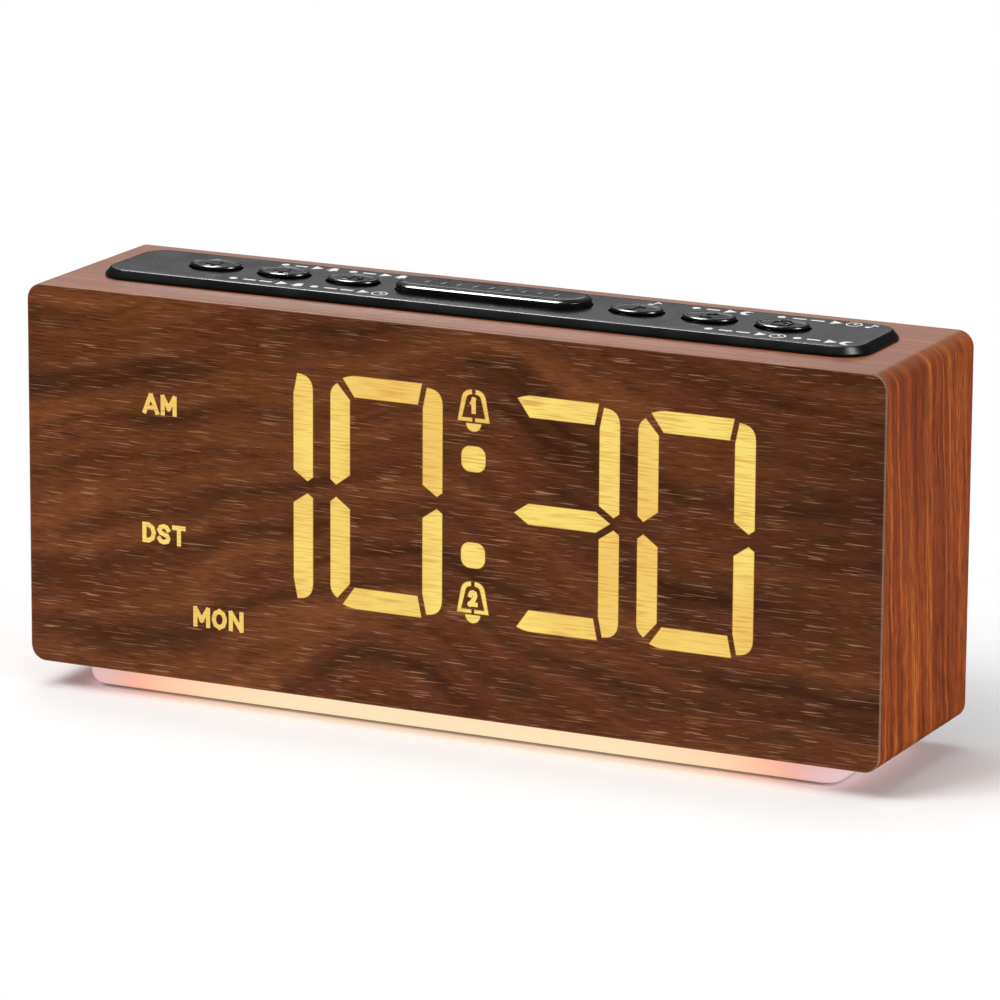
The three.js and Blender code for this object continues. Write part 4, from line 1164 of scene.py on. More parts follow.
@dataclass
class Display:
    """The marks that shine through the face: digits, colon, bells and words."""

    shown: str = "1030"
    digit_width: float = 26.4
    digit_height: float = 50.7
    stroke: float = 4.6
    pitch: float = 30.6
    colon_room: float = 10.3
    colon_x: float = 7.15
    middle_rise: float = 46.15
    dot_width: float = 5.6
    dot_height: float = 5.5
    dot_corner: float = 2.0
    dot_place: float = 10.4
    rim_out: float = 0.1
    rim_in: float = 0.12
    rim_middle: float = 0.45
    mark_film: float = 0.015
    word_film: float = 0.012
    bell_place: float = 20.7
    bell_sink: float = 2.25
    clapper_sink: float = 0.4
    clapper_radius: float = 1.75
    letter_stroke: float = 1.0

    def __post_init__(self) -> None:
        """Takes the face's level and the case's underside from the frame."""
        self.front = Extent.of("front_veneer").low.y
        self.base = Extent.of("cabinet_shell").low.z
        self.middle = self.base + self.middle_rise

    def segment(self, letter: str) -> Outline:
        """One segment of a digit about the digit's middle.

        Args:
            letter: The segment's usual letter, a to g.

        Returns:
            Its outline, counter-clockwise.
        """
        source = {"c": "b", "d": "a", "e": "f"}.get(letter, letter)
        corners = []
        for side, across, level, along, reach in SEGMENT_SHARES[source]:
            x = self.digit_width / 2 - across * self.stroke
            drop = along * self.stroke
            y = self.digit_height / 2 - drop if level == "top" else drop
            corners.append((-x if side == "left" else x, y, reach * self.stroke))
        outline = softened(corners, 6)
        return outline if source == letter else mirrored(outline, across=False)

    def digit_outlines(self) -> list[Outline]:
        """The lit segments of all digits, in their places."""
        outlines = []
        for place, digit in enumerate(self.shown):
            steps = place - (len(self.shown) - 1) / 2
            x = self.colon_x + steps * self.pitch + math.copysign(self.colon_room / 2, steps)
            segments = [self.segment(letter) for letter in LIT_SEGMENTS[digit]]
            outlines += [moved(segment, x, self.middle) for segment in segments]
        return outlines

    def dot_outlines(self) -> list[Outline]:
        """The two dots of the colon."""
        dot = rounded_rectangle(self.dot_width, self.dot_height, self.dot_corner, steps=8)
        return [moved(dot, self.colon_x, self.middle + side * self.dot_place) for side in (-1, 1)]

    def bell_outlines(self) -> list[Outline]:
        """Both bells, each in two halves over a half-round clapper."""
        right = softened(BELL_HALF, 8)
        clapper = arc((0.0, -self.clapper_sink), self.clapper_radius, 180, 360, 12)
        outlines = []
        for side in (-1, 1):
            foot = self.middle + side * self.bell_place - self.bell_sink
            parts = (right, mirrored(right), clapper)
            outlines += [moved(part, self.colon_x, foot) for part in parts]
        return outlines

    def mark(self, name: str, outline: Outline) -> bpy.types.Object:
        """One lit mark: a thin film on the face whose rim fades into the wood.

        Args:
            name: Name of the new object.
            outline: The mark's outline on the face.

        Returns:
            The mark.
        """
        wide = widened(outline, self.rim_out)
        rings = [
            Ring(wide, self.front + self.mark_film, 1.0),
            Ring(wide, self.front, 1.0),
            Ring(outline, self.front, self.rim_middle),
            Ring(widened(outline, -self.rim_in), self.front, 0.0),
        ]
        return skin(name, Plane.FACE, rings)

    def build(self) -> None:
        """Builds the marks as four pieces: digits, colon, bells and words."""
        groups = {
            "digits": self.digit_outlines(),
            "colon": self.dot_outlines(),
            "bells": self.bell_outlines(),
        }
        for name, outlines in groups.items():
            parts = [self.mark(f"{name}_{i}", outline) for i, outline in enumerate(outlines)]
            fitted(joined(f"lit_{name}", parts), "case", Slot.GLOW, ["display_diffuser"])
        words = []
        half = self.letter_stroke / 2
        for i, (letter, left, rise, width, height) in enumerate(LIT_LETTERS):
            start, foot = left + half, self.base + rise + half
            across, up = width - 2 * half, height - 2 * half
            for k, shares in enumerate(STROKES[letter]):
                points = [(start + x * across, foot + y * up) for x, y in shares]
                words.append(self.film(f"letter_{i}_{k}", ribbon(points, self.letter_stroke)))
        fitted(joined("lit_words", words), "case", Slot.GLOW, ["display_diffuser"])

    def film(self, name: str, outline: Outline) -> bpy.types.Object:
        """A plain lit film without a rim."""
        levels = (self.front + self.word_film, self.front)
        return skin(name, Plane.FACE, [Ring(outline, level) for level in levels])


# Corners of the segments a, b, f and g in shares of the stroke from the digit's sides and levels
SEGMENT_SHARES = {
    "a": [
        ("left", 0.64, "top", 0.16, 0),
        ("left", 1.24, "top", 1, 0),
        ("right", 1.26, "top", 1, 0),
        ("right", 1.05, "top", 0, 0),
        ("left", 1.05, "top", 0, 0.35),
    ],
    "b": [
        ("right", 0.8, "top", 0.17, 0),
        ("right", 1, "top", 1.14, 0),
        ("right", 1, "middle", 0.78, 0),
        ("right", 0.28, "middle", 0.29, 0),
        ("right", 0, "middle", 0.49, 0),
        ("right", 0, "top", 0.2, 0.75),
    ],
    "f": [
        ("left", 0.35, "top", 0.43, 0),
        ("left", 0, "top", 0.68, 0.35),
        ("left", 0, "middle", 0.53, 0),
        ("left", 0.29, "middle", 0.29, 0),
        ("left", 1, "middle", 0.81, 0),
        ("left", 1, "top", 1.16, 0),
    ],
    "g": [
        ("left", 0.49, "middle", 0, 0),
        ("left", 1.2, "middle", -0.48, 0),
        ("right", 1.16, "middle", -0.48, 0),
        ("right", 0.45, "middle", 0, 0),
        ("right", 1.16, "middle", 0.48, 0),
        ("left", 1.2, "middle", 0.48, 0),
    ],
}
LIT_SEGMENTS = {"0": "abcdef", "1": "bc", "3": "abcdg"}
# Right half of a bell about the middle of its foot, with the reach of each round, in millimetres
BELL_HALF = [
    (0.45, 5.85, 0),
    (1.5, 5.85, 1.05),
    (2.75, 0.75, 0),
    (0.35, 0.75, 0),
    (0.35, 0, 0),
    (3.7, 0, 0),
    (2.45, 6.8, 2.0),
    (0.45, 6.8, 0),
]
# Strokes of each letter and number in shares of its width and height
STROKES: dict[str, list[list[Point]]] = {
    "A": [[(0, 0), (0.46, 1)], [(0.54, 1), (1, 0)], [(0.2, 0.27), (0.8, 0.27)]],
    "M": [[(0, 0), (0, 1)], [(0.04, 1), (0.5, 0.32)], [(0.5, 0.32), (0.96, 1)], [(1, 1), (1, 0)]],
    "N": [[(0, 0), (0, 1)], [(0.04, 1), (0.96, 0)], [(1, 1), (1, 0)]],
    "T": [[(0, 1), (1, 1)], [(0.5, 1), (0.5, 0)]],
    "D": [
        [(0, 0), (0, 1)],
        [(0, 1), (0.45, 1), (0.85, 0.84), (1, 0.5), (0.85, 0.16), (0.45, 0), (0, 0)],
    ],
    "O": [
        [(0.5, 1), (0.14, 0.87), (0, 0.6), (0, 0.4), (0.14, 0.13), (0.5, 0)],
        [(0.5, 0), (0.86, 0.13), (1, 0.4), (1, 0.6), (0.86, 0.87), (0.5, 1)],
    ],
    "S": [
        [(0.95, 0.8), (0.8, 0.95), (0.5, 1), (0.16, 0.93), (0.03, 0.75), (0.18, 0.58), (0.5, 0.5)],
        [(0.5, 0.5), (0.84, 0.42), (0.98, 0.25), (0.86, 0.07), (0.5, 0), (0.18, 0.05), (0.02, 0.2)],
    ],
    "1": [[(0.15, 0.72), (0.62, 1)], [(0.62, 1), (0.62, 0)]],
    "2": [
        [(0.05, 0.76), (0.2, 0.95), (0.5, 1), (0.85, 0.93), (0.93, 0.72), (0.75, 0.45), (0, 0)],
        [(0, 0), (1, 0)],
    ],
}
# Letters and numbers of the display: which, left, foot, width and height, in millimetres
LIT_LETTERS = [
    ("A", -71.8, 58.1, 4.0, 4.5),
    ("M", -67.4, 58.1, 3.9, 4.5),
    ("D", -72.1, 29.6, 3.3, 4.5),
    ("S", -68.5, 29.6, 3.3, 4.5),
    ("T", -64.8, 29.6, 3.3, 4.5),
    ("M", -59.75, 12.25, 4.1, 4.5),
    ("O", -55.2, 12.25, 3.6, 4.5),
    ("N", -51.1, 12.25, 3.6, 4.5),
    ("1", 6.2, 66.3, 1.7, 3.5),
    ("2", 6.0, 24.6, 2.3, 3.6),
]


@dataclass
class ControlPanel:
    """The black plate on top with its six buttons, its long bar and its printed marks."""

    plate_gap: float = 0.1
    plate_corner: float = 6.5
    plate_rim: float = 0.5
    plate_bevel: float = 1.3
    slip: float = 0.3
    button_length: float = 12.0
    button_depth: float = 8.6
    button_top: float = 1.05
    button_waist: float = 0.4
    button_belly: float = 0.45
    button_rim: float = 0.8
    button_crown: float = 0.22
    button_dish: float = 0.22
    sign_root: float = 0.1
    sign_edge: float = 0.12
    sign_rise: float = 0.2
    sign_bevel: float = 0.08
    flange_lip: float = 0.9
    flange_height: float = 1.2
    flange_sink: float = 2.2
    bar_length: float = 45.0
    bar_depth: float = 11.0
    bar_wall: float = 1.25
    bar_bevel: float = 1.5
    bar_shoulder: float = 0.45
    bar_rise: float = 0.26
    ribs: int = 4
    rib_length: float = 4.4
    rib_width: float = 1.0
    rib_pitch: float = 3.8
    rib_sink: float = 0.05
    rib_bevel: float = 0.1
    print_height: float = 0.01
    print_root: float = 0.02

    def __post_init__(self) -> None:
        """Takes the plate's box and the buttons' boxes from the frame."""
        self.plate = Extent.of("control_panel")
        self.bar = Extent.of("snooze_bar")
        self.buttons = [Extent.of(f"button_{i + 1}") for i in range(6)]
        self.foot = Extent.of("cabinet_shell").high.z + self.plate_gap
        self.top = self.plate.high.z

    def build_plate(self) -> bpy.types.Object:
        """The bevelled plate with a hole for each control.

        Returns:
            The piece.
        """
        bevel = self.plate_bevel
        profile = contour(
            (0, self.foot, 0),
            (0, self.foot + self.plate_rim, 0.15),
            (bevel, self.top, 0.3),
            (2 * bevel, self.top, 0),
            steps=4,
        )
        rings = []
        for inset, level in profile:
            width, depth = self.plate.size.x - 2 * inset, self.plate.size.y - 2 * inset
            outline = rounded_rectangle(width, depth, self.plate_corner - inset, steps=16)
            rings.append(Ring(outline, level))
        plate = skin("panel_plate", Plane.FLOOR, rings)
        low, high = self.foot - OVERCUT, self.top + OVERCUT
        spots = [(button.middle.x, 0.0) for button in self.buttons]
        holes = [
            prism(f"hole_{i}", Plane.FLOOR, self.oval(-self.slip, spot), low, high)
            for i, spot in enumerate(spots)
        ]
        slot = stadium(self.bar_length + 2 * self.slip, self.bar_depth + 2 * self.slip)
        holes.append(prism("hole_bar", Plane.FLOOR, slot, low, high))
        return fitted(carved(plate, holes), "case", Slot.PANEL, ["control_panel"])

    def oval(self, inset: float, centre: Point) -> Outline:
        """A button's outline, drawn in by an inset."""
        across, along = self.button_length / 2 - inset, self.button_depth / 2 - inset
        return [(centre[0] + x * across, centre[1] + y * along) for x, y in circle(1.0, steps=72)]

    def build_button(self, number: int) -> bpy.types.Object:
        """One oval button with its flange, dish and raised sign.

        Args:
            number: The button's number, from one at the left.

        Returns:
            The piece.
        """
        box = self.buttons[number - 1]
        centre = (box.middle.x, box.middle.y)
        top = self.top + self.button_top
        flange = self.top - self.flange_sink
        dish = self.button_rim + 2 * self.button_dish
        level = top - self.button_dish
        profile = contour(
            (-self.flange_lip, flange - self.flange_height, 0),
            (-self.flange_lip, flange, 0),
            (self.button_waist, flange, 0),
            (self.button_waist, self.top, 0),
            (0, self.top + self.button_belly, 0.4),
            (0.35 * self.button_rim, top - self.button_crown, 0.3),
            (self.button_rim, top, 0.3),
            (dish, level, 0.3),
            (2 * dish, level, 0),
            steps=6,
        )
        rings = [Ring(self.oval(inset, centre), height) for inset, height in profile]
        parts = [skin("cap", Plane.FLOOR, rings)]
        for i, outline in enumerate(SIGNS[BUTTON_SIGNS[number - 1]]):
            placed = moved(outline, *centre)
            rings = [
                Ring(placed, level - self.sign_root),
                Ring(placed, level + self.sign_edge),
                Ring(widened(placed, -self.sign_bevel), level + self.sign_rise),
            ]
            parts.append(skin(f"sign_{i}", Plane.FLOOR, rings))
        node = f"button_{number}"
        return fitted(joined(f"push_{node}", parts), node, Slot.GLOSS, [node])

    def build_bar(self) -> bpy.types.Object:
        """The long bar with its sharp shoulder and a row of low ribs in place of words.

        Returns:
            The piece.
        """
        top = self.bar.high.z
        flange = self.top - self.flange_sink
        shoulder = self.top + self.bar_wall
        face = top - 2 * self.rib_sink
        profile = contour(
            (0, flange - self.flange_height, 0),
            (0, shoulder, 0.12),
            (self.bar_shoulder, shoulder + self.bar_rise, 0.08),
            (self.bar_bevel, face, 0.25),
            (2 * self.bar_bevel, face, 0),
            steps=4,
        )
        rings = [
            Ring(stadium(self.bar_length - 2 * inset, self.bar_depth - 2 * inset), level)
            for inset, level in profile
        ]
        parts = [skin("bar_cap", Plane.FLOOR, rings)]
        rib = stadium(self.rib_length, self.rib_width, steps=8)
        for i in range(-self.ribs, self.ribs + 1):
            turned_rib = [(i * self.rib_pitch + y, x) for x, y in rib][::-1]
            rings = [
                Ring(turned_rib, top - self.rib_bevel),
                Ring(turned_rib, top - self.rib_sink),
                Ring(widened(turned_rib, -self.rib_bevel), top),
            ]
            parts.append(skin(f"rib_{i}", Plane.FLOOR, rings))
        lip = stadium(self.bar_length + 2 * self.flange_lip, self.bar_depth + 2 * self.flange_lip)
        parts.append(prism("bar_flange", Plane.FLOOR, lip, flange - self.flange_height, flange))
        return fitted(joined("long_bar", parts), "snooze_bar", Slot.GLOSS, ["snooze_bar"])

    def build_print(self) -> bpy.types.Object:
        """Thin printed brackets that gather the buttons, and a small sign beside each.

        Returns:
            The piece.
        """
        parts = []
        levels = (self.top - self.print_root, self.top + self.print_height)
        for i, outline in enumerate(PRINTED):
            rings = [Ring(outline, level) for level in levels]
            parts.append(skin(f"print_{i}", Plane.FLOOR, rings))
        return fitted(joined("panel_print", parts), "case", Slot.PANEL, finish=PRINT)

    def build(self) -> None:
        """Builds the plate, the controls and the print."""
        self.build_plate()
        for number in range(1, len(self.buttons) + 1):
            self.build_button(number)
        self.build_bar()
        self.build_print()


def line(start: Point, end: Point, width: float) -> Outline:
    """A thin bar between two points, counter-clockwise."""
    a, b = Vector(start), Vector(end)
    side = (b - a).normalized().orthogonal() * width / 2
    return [tuple(a - side), tuple(b - side), tuple(b + side), tuple(a + side)]


def crescent(radius: float) -> Outline:
    """A moon's outline about its middle."""
    outer = arc((0.0, 0.0), radius, 50, 310, 20)
    hollow = (0.55 * radius, 0.0)
    reach = math.dist(hollow, outer[0])
    lean = math.degrees(math.atan2(outer[0][1] - hollow[1], outer[0][0] - hollow[0]))
    return outer + arc(hollow, reach, 360 - lean, lean, 14)[1:-1]


def ring_halves(radius: float, width: float) -> list[Outline]:
    """A thin ring in two halves, so that each is a plain outline."""
    halves = []
    for start in (0, 180):
        outer = arc((0.0, 0.0), radius, start, start + 180, 20)
        inner = arc((0.0, 0.0), radius - width, start + 180, start, 20)
        halves.append(outer + inner)
    return halves


def bell_sign() -> list[Outline]:
    """A small bell with its clapper."""
    bell = softened(
        [
            (-1.9, -1.4, 0.2),
            (1.9, -1.4, 0.2),
            (1.2, -0.3, 0.4),
            (1.1, 1.9, 1.0),
            (-1.1, 1.9, 1.0),
            (-1.2, -0.3, 0.4),
        ]
    )
    return [bell, arc((0.0, -1.7), 0.6, 180, 360, 8)]


# Raised signs on the buttons: outlines about the button's middle, in millimetres
SIGNS: dict[str, list[Outline]] = {
    "bell": bell_sign(),
    "waves": [
        [(-2.2, -0.7), (-1.2, -0.7), (-0.1, -1.8), (-0.1, 1.8), (-1.2, 0.7), (-2.2, 0.7)],
        arc((-0.1, 0.0), 1.5, -50, 50, 10) + arc((-0.1, 0.0), 1.1, 50, -50, 10),
        arc((-0.1, 0.0), 2.5, -50, 50, 10) + arc((-0.1, 0.0), 2.1, 50, -50, 10),
    ],
    "note": [
        circle(0.85, (-0.7, -1.5), 20),
        line((0.0, -1.5), (0.0, 2.0), 0.45),
        [(0.2, 2.0), (0.2, 1.0), (1.6, 0.1), (1.6, 1.0)],
    ],
    "moon": [crescent(2.1)],
    "clock": [*ring_halves(2.4, 0.45), line((0, 0), (0, 1.6), 0.4), line((0, 0), (1.2, 0.0), 0.4)],
}
BUTTON_SIGNS = ["bell", "bell", "waves", "note", "moon", "clock"]
# Size of a printed sign and width of a printed dash, in millimetres
PRINT_SIZE = 3.0
PRINT_WIDTH = 0.8


def row(left: float, along: float, kinds: str, pitch: float) -> list[Outline]:
    """A row of plain printed signs.

    Args:
        left: Middle of the first one.
        along: Their place along the panel's depth.
        kinds: A letter each: d dot, m dash, r triangle, b bell, n note, c clock, o moon.
        pitch: Distance between them.

    Returns:
        Their outlines.
    """
    half, share = PRINT_SIZE / 2, PRINT_SIZE / 4
    drawn = {"b": "bell", "n": "note", "c": "clock", "o": "moon"}
    outlines = []
    for i, kind in enumerate(kinds):
        x = left + i * pitch
        if kind in drawn:
            for part in SIGNS[drawn[kind]]:
                outlines.append([(x + a * share, along + b * share) for a, b in part])
        elif kind == "d":
            outlines.append(circle(0.6 * half, (x, along), 16))
        elif kind == "m":
            outlines.append(line((x - half, along), (x + half, along), PRINT_WIDTH))
        else:
            base = x - 0.6 * half
            outlines.append([(base, along - half), (x + half, along), (base, along + half)])
    return outlines


# Marks printed on the panel, in millimetres from its middle
PRINTED: list[Outline] = [
    *row(-58.0, -8.3, "dmmrb", 3.9),
    *row(-38.5, -8.3, "dmmrc", 3.9),
    *row(53.5, -8.3, "dmmrc", 3.9),
    *row(73.5, -8.3, "dmro", 3.7),
    *row(-54.5, 9.2, "dmrb", 3.9),
    *row(-38.0, 9.2, "dmrb", 3.9),
    *row(33.5, 9.2, "n", 4.0),
    *row(43.0, 9.2, "dmro", 3.9),
    *row(62.5, 9.2, "dmmrcn", 4.1),
]


@dataclass
class NightLightBase:
    """The opal tray under the case with its feet."""

    corner: float = 5.0
    bottom_round: float = 3.0
    wall: float = 2.2
    floor: float = 1.6
    sink_radius: float = 3.2
    sink_depth: float = 1.4
    foot_radius: float = 4.0
    seat_gap: float = 0.3
    seat_sink: float = 0.1

    def __post_init__(self) -> None:
        """Takes the tray's box and its screws and feet from the frame."""
        self.tray = Extent.of("base_diffuser")
        self.screws = [Extent.of(f"base_screw_{i + 1}").middle for i in range(4)]
        self.feet = [Extent.of(f"foot_{i + 1}") for i in range(4)]

    def ring(self, inset: float, level: float) -> Ring:
        """The tray's outline, drawn in by an inset."""
        width, depth = self.tray.size.x - 2 * inset, self.tray.size.y - 2 * inset
        return Ring(rounded_rectangle(width, depth, self.corner - inset, steps=16), level)

    def build_tray(self) -> bpy.types.Object:
        """The tray with its rounded bottom edge and the seats of screws and feet.

        Returns:
            The piece.
        """
        low, high = self.tray.low.z, self.tray.high.z
        turn = arc((self.bottom_round, low + self.bottom_round), self.bottom_round, 270, 180, 14)
        rings = [self.ring(inset, level) for inset, level in turn]
        rings += [self.ring(0, high), self.ring(self.wall, high)]
        rings.append(self.ring(self.wall, low + self.floor))
        tray = skin("opal_tray", Plane.FLOOR, rings)
        below = low - OVERCUT
        cutters = []
        for i, screw in enumerate(self.screws):
            sink = circle(self.sink_radius, (screw.x, screw.y), 32)
            cutters.append(prism(f"sink_{i}", Plane.FLOOR, sink, below, low + self.sink_depth))
        for i, foot in enumerate(self.feet):
            seat = circle(self.foot_radius + self.seat_gap, (foot.middle.x, foot.middle.y), 40)
            top = foot.high.z + self.seat_sink
            cutters.append(prism(f"seat_{i}", Plane.FLOOR, seat, below, top))
        return fitted(carved(tray, cutters), "case", Slot.MILKY, ["base_diffuser"])

    def build_feet(self) -> None:
        """The four rubber feet, softly edged."""
        for number, foot in enumerate(self.feet, 1):
            low, high, radius = foot.low.z, foot.high.z, self.foot_radius
            profile = contour((0, low, 0), (radius, low, 0.4), (radius, high, 0.15), (0, high, 0))
            spot = (foot.middle.x, foot.middle.y)
            made = turned(f"rubber_foot_{number}", profile, spot, steps=48)
            fitted(made, "case", Slot.RUBBER, [f"foot_{number}"])

    def build(self) -> None:
        """Builds the tray and its feet."""
        self.build_tray()
        self.build_feet()


@dataclass
class Rear:
    """What shows at the back: cross-head screws and the power inlet."""

    head_radius: float = 2.9
    head_height: float = 0.9
    shank_radius: float = 1.4
    recess_width: float = 0.75
    recess_length: float = 3.2
    recess_depth: float = 0.55
    recess_corner: float = 0.2
    nose_radius: float = 4.3
    nose_depth: float = 6.0
    bore_radius: float = 3.2
    bore_depth: float = 4.5
    body_sink: float = 5.0
    body_corner: float = 0.4
    pin_radius: float = 1.0
    pin_sink: float = 1.0

    def build_screw(self, node: str, body: str) -> bpy.types.Object:
        """A pan-head screw with a cross recess.

        Args:
            node: The CAD screw that it stands for.
            body: The body that it rides on.

        Returns:
            The piece.
        """
        box = Extent.of(node)
        low, high = box.low.y, box.high.y
        centre = (box.middle.x, box.middle.z)
        under, shank, head = high - self.head_height, self.shank_radius, self.head_radius
        profile = contour(
            (0, low, 0),
            (shank, low + shank, 0),
            (shank, under, 0),
            (head, under, 0.05),
            (head, high, 0.55),
            (0, high, 0),
        )
        made = turned(f"{node}_turned", profile, centre, Plane.FACE, 40)
        arms = (self.recess_length, self.recess_width)
        floor = high - self.recess_depth
        cutters = []
        for i, (width, height) in enumerate((arms, arms[::-1])):
            outline = rounded_rectangle(width, height, self.recess_corner, centre, 3)
            cutters.append(prism(f"recess_{i}", Plane.FACE, outline, floor, high + OVERCUT))
        return fitted(carved(made, cutters), body, Slot.STEEL, [node])

    def build_inlet(self) -> bpy.types.Object:
        """The round power inlet with its pin.

        Returns:
            The piece.
        """
        box = Extent.of("power_jack")
        centre = (box.middle.x, box.middle.z)
        back = box.high.y
        foot, floor = back - self.nose_depth, back - self.bore_depth
        nose = contour(
            (0, foot, 0),
            (self.nose_radius, foot, 0),
            (self.nose_radius, back, 0.25),
            (self.bore_radius, back, 0.2),
            (self.bore_radius, floor, 0),
            (0, floor, 0),
        )
        parts = [turned("nose", nose, centre, Plane.FACE, 48)]
        outline = rounded_rectangle(box.size.x, box.size.z, self.body_corner, centre, 4)
        parts.append(prism("body", Plane.FACE, outline, box.low.y, back - self.body_sink))
        return fitted(joined("power_inlet", parts), "case", Slot.BLACK, ["power_jack"])

    def build_pin(self) -> bpy.types.Object:
        """The inlet's middle pin, turned and plated."""
        box = Extent.of("power_jack")
        root, tip = box.high.y - self.body_sink, box.high.y - self.pin_sink
        radius = self.pin_radius
        profile = contour(
            (0, root, 0), (radius, root, 0), (radius, tip, 0.4), (0, tip, 0), steps=4
        )
        made = turned("inlet_pin", profile, (box.middle.x, box.middle.z), Plane.FACE, 32)
        return fitted(made, "case", Slot.STEEL)

    def build(self) -> None:
        """Builds the screws and the inlet."""
        for number in range(1, 5):
            self.build_screw(f"rear_screw_{number}", "case")
        self.build_screw("battery_door_screw", "battery_door")
        self.build_inlet()
        self.build_pin()


@dataclass
class CarriedOver:
    """CAD nodes shown as they are, each in its slot's finish; those in eased get eased edges."""

    ease: float = 0.12
    ease_angle: float = 40.0
    weld_gap: float = 0.002
    eased: tuple[str, ...] = ("rear_cover", "battery_door", "coin_cell", "speaker")

    def build(self) -> None:
        """Dresses every CAD node that nothing stands for."""
        slots = {part["node"]: Slot(part["material_slot"]) for part in frame["record"]["subparts"]}
        for name, node in frame["nodes"].items():
            node.data.materials.clear()
            node.data.materials.append(SLOT_FINISHES[slots[name]].material())
            if name in self.eased:
                weld = node.modifiers.new("weld", "WELD")
                weld.merge_threshold = self.weld_gap * MM
                bevel = node.modifiers.new("ease", "BEVEL")
                bevel.width = self.ease * MM
                bevel.segments = 2
                bevel.limit_method = "ANGLE"
                bevel.angle_limit = math.radians(self.ease_angle)
                bevel.harden_normals = False
            log.info("%s: carried over", name)


class Role(Enum):
    """What a lamp is for: to light surfaces or to show as a glint in them."""

    SHADES = "shades"
    GLINTS = "glints"


@dataclass(frozen=True)
class Lamp:
    """A square soft box: its place and side in millimetres, its power in watts and its role."""

    name: str
    place: Triple
    side: float
    power: float
    role: Role = Role.SHADES


LAMPS = (
    Lamp("key", (-600.0, -900.0, 1300.0), 800.0, 16.0),
    Lamp("fill", (1430.0, -250.0, 330.0), 500.0, 9.0),
    Lamp("top", (-150.0, 60.0, 1400.0), 900.0, 6.2),
    Lamp("spark", (700.0, -100.0, 1250.0), 420.0, 14.0, Role.GLINTS),
    Lamp("edge", (-590.0, 320.0, 1230.0), 350.0, 24.0, Role.GLINTS),
    Lamp("horizon", (-850.0, 1750.0, 1150.0), 900.0, 4.4, Role.GLINTS),
)


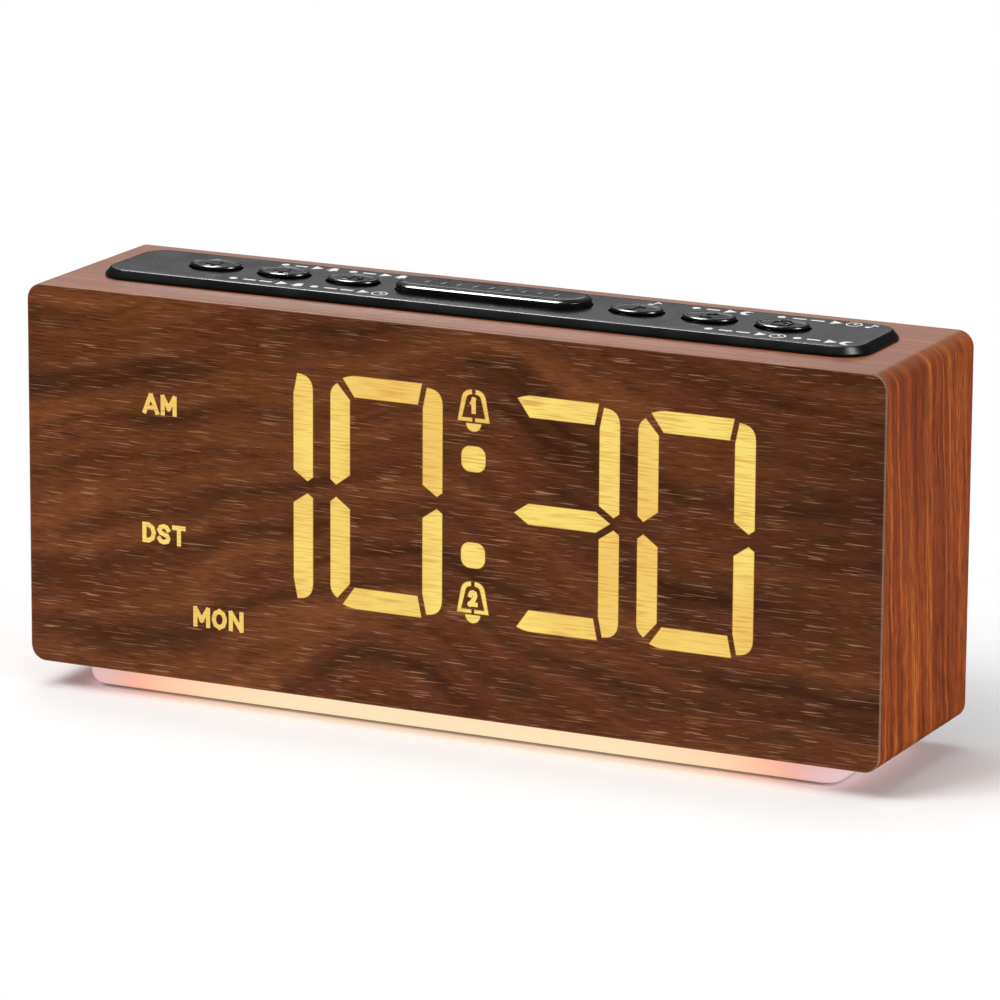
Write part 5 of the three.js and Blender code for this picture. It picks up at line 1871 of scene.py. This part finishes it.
@dataclass
class Studio:
    """Floor, light and camera."""

    floor_radius: float = 650.0
    aim_height: float = 45.0
    azimuth: float = 25.7
    elevation: float = 13.83
    roll: float = -0.34
    distance: float = 1361.6
    aim_right: float = -1.88
    aim_down: float = 40.48
    lens: float = 227.78
    sensor: float = 36.0
    clip: Point = (0.1, 20.0)
    floor_lift: float = 0.03
    fade_start: float = 125.0
    fade_end: float = 300.0
    fade_depth: float = 1.6
    floor_mirrored: float = 0.04
    fill_strength: float = 0.3
    mirrored_strength: float = 0.1
    glow_share: float = 0.86
    glow_power: float = 0.0012
    glow_colour: str = "#ffb98a"
    glow_gap: float = 4.0

    def build_floor(self) -> None:
        """A pale floor that keeps the shadow, is dim in mirrors and fades out into the white."""
        floor = skin("studio_floor", Plane.FLOOR, [Ring(circle(self.floor_radius, steps=128), 0.0)])
        made = bpy.data.materials.new("studio_floor")
        made.use_nodes = True
        tree = made.node_tree
        tree.nodes.clear()
        paint = add_node(tree, "ShaderNodeBsdfDiffuse", {"Color": linear("#fcfcfc")})
        white = linear("#ffffff")
        path = add_node(tree, "ShaderNodeLightPath").outputs
        lift = computed(tree, "MULTIPLY", path["Is Camera Ray"], self.floor_lift)
        glow = add_node(tree, "ShaderNodeEmission", {"Color": white}, {"Strength": lift})
        links = {0: paint.outputs["BSDF"], 1: glow.outputs["Emission"]}
        both = add_node(tree, "ShaderNodeAddShader", links=links)
        mirrored_look = {"Color": white, "Strength": self.floor_mirrored}
        dim = add_node(tree, "ShaderNodeEmission", mirrored_look)
        links = {0: path["Is Glossy Ray"], 1: both.outputs["Shader"], 2: dim.outputs["Emission"]}
        either = add_node(tree, "ShaderNodeMixShader", links=links)
        place = add_node(tree, "ShaderNodeTexCoord").outputs["Object"]
        drawn = {"operation": "MULTIPLY", 1: (1.0, self.fade_depth, 1.0)}
        oval = add_node(tree, "ShaderNodeVectorMath", drawn, {0: place}).outputs["Vector"]
        reach = add_node(tree, "ShaderNodeVectorMath", {"operation": "LENGTH"}, {0: oval})
        span = (self.fade_start * MM, self.fade_end * MM)
        gone = remapped(tree, reach.outputs["Value"], *span)
        clear = add_node(tree, "ShaderNodeBsdfTransparent")
        links = {0: gone, 1: either.outputs["Shader"], 2: clear.outputs["BSDF"]}
        faded = add_node(tree, "ShaderNodeMixShader", links=links)
        add_node(tree, "ShaderNodeOutputMaterial", links={"Surface": faded.outputs["Shader"]})
        floor.data.materials.append(made)

    def build_world(self) -> None:
        """White where it is looked at, a soft fill for surfaces and a dim grey for mirrors."""
        world = bpy.data.worlds.new("studio")
        bpy.context.scene.world = world
        world.use_nodes = True
        world.cycles.sampling_method = "NONE"
        tree = world.node_tree
        tree.nodes.clear()
        path = add_node(tree, "ShaderNodeLightPath").outputs
        seen = computed(tree, "MAXIMUM", path["Is Camera Ray"], path["Is Transmission Ray"])
        plain = remapped(tree, seen, 0.0, 1.0, self.fill_strength, 1.0)
        change = self.mirrored_strength - self.fill_strength
        level = computed(tree, "MULTIPLY_ADD", path["Is Glossy Ray"], change, plain)
        white = {"Color": linear("#ffffff")}
        sky = add_node(tree, "ShaderNodeBackground", white, {"Strength": level})
        add_node(tree, "ShaderNodeOutputWorld", links={"Surface": sky.outputs["Background"]})

    def build_lamp(self, lamp: Lamp) -> None:
        """Hangs a soft box that faces the clock.

        Args:
            lamp: What it is like.
        """
        light = bpy.data.lights.new(lamp.name, "AREA")
        light.shape = "SQUARE"
        light.size = lamp.side * MM
        light.energy = lamp.power
        made = bpy.data.objects.new(lamp.name, light)
        made.visible_diffuse = lamp.role is Role.SHADES
        made.visible_glossy = lamp.role is Role.GLINTS
        made.visible_camera = False
        made.location = Vector(lamp.place) * MM
        aim = Vector((0, 0, self.aim_height * MM)) - made.location
        made.rotation_mode = "QUATERNION"
        made.rotation_quaternion = aim.to_track_quat("-Z", "Y")
        bpy.context.scene.collection.objects.link(made)

    def build_glow(self) -> None:
        """The warm light that the night light throws on the table in front of it."""
        tray = Extent.of("base_diffuser")
        light = bpy.data.lights.new("glow", "AREA")
        light.shape = "RECTANGLE"
        light.size = self.glow_share * tray.size.x * MM
        light.size_y = tray.size.z * MM
        light.energy = self.glow_power
        light.color = linear(self.glow_colour)[:3]
        lamp = bpy.data.objects.new("glow", light)
        lamp.visible_glossy = False
        lamp.visible_camera = False
        lamp.location = Vector((0, tray.low.y - self.glow_gap, tray.middle.z)) * MM
        lamp.rotation_euler = (math.radians(90), 0, 0)
        bpy.context.scene.collection.objects.link(lamp)

    def build_camera(self) -> None:
        """The camera at the photograph's angle."""
        turn, rise, roll = (math.radians(a) for a in (self.azimuth, self.elevation, self.roll))
        flat = math.cos(rise)
        back = Vector((math.sin(turn) * flat, -math.cos(turn) * flat, math.sin(rise)))
        level_right = (-back).cross(Vector((0, 0, 1))).normalized()
        level_up = level_right.cross(-back)
        right = level_right * math.cos(roll) - level_up * math.sin(roll)
        up = level_right * math.sin(roll) + level_up * math.cos(roll)
        data = bpy.data.cameras.new("camera")
        data.sensor_width = self.sensor
        data.lens = self.lens
        data.clip_start, data.clip_end = self.clip
        camera = bpy.data.objects.new("camera", data)
        foot = Vector((0, 0, Extent.of("cabinet_shell").low.z))
        spot = foot + back * self.distance - right * self.aim_right + up * self.aim_down
        turned_to = Matrix((right, up, back)).transposed().to_4x4()
        camera.matrix_world = Matrix.Translation(spot * MM) @ turned_to
        bpy.context.scene.collection.objects.link(camera)
        bpy.context.scene.camera = camera

    def build(self) -> None:
        """Builds the floor, the light and the camera."""
        bpy.context.scene.view_settings.view_transform = "Standard"
        self.build_floor()
        self.build_world()
        for lamp in LAMPS:
            self.build_lamp(lamp)
        self.build_glow()
        self.build_camera()


def main() -> None:
    """Builds the dressed clock and its studio."""
    assemblies = (
        Cabinet(),
        Display(),
        ControlPanel(),
        NightLightBase(),
        Rear(),
        CarriedOver(),
        Studio(),
    )
    for assembly in assemblies:
        log.info("building %s", type(assembly).__name__)
        assembly.build()


if __name__ == "__main__":
    main()
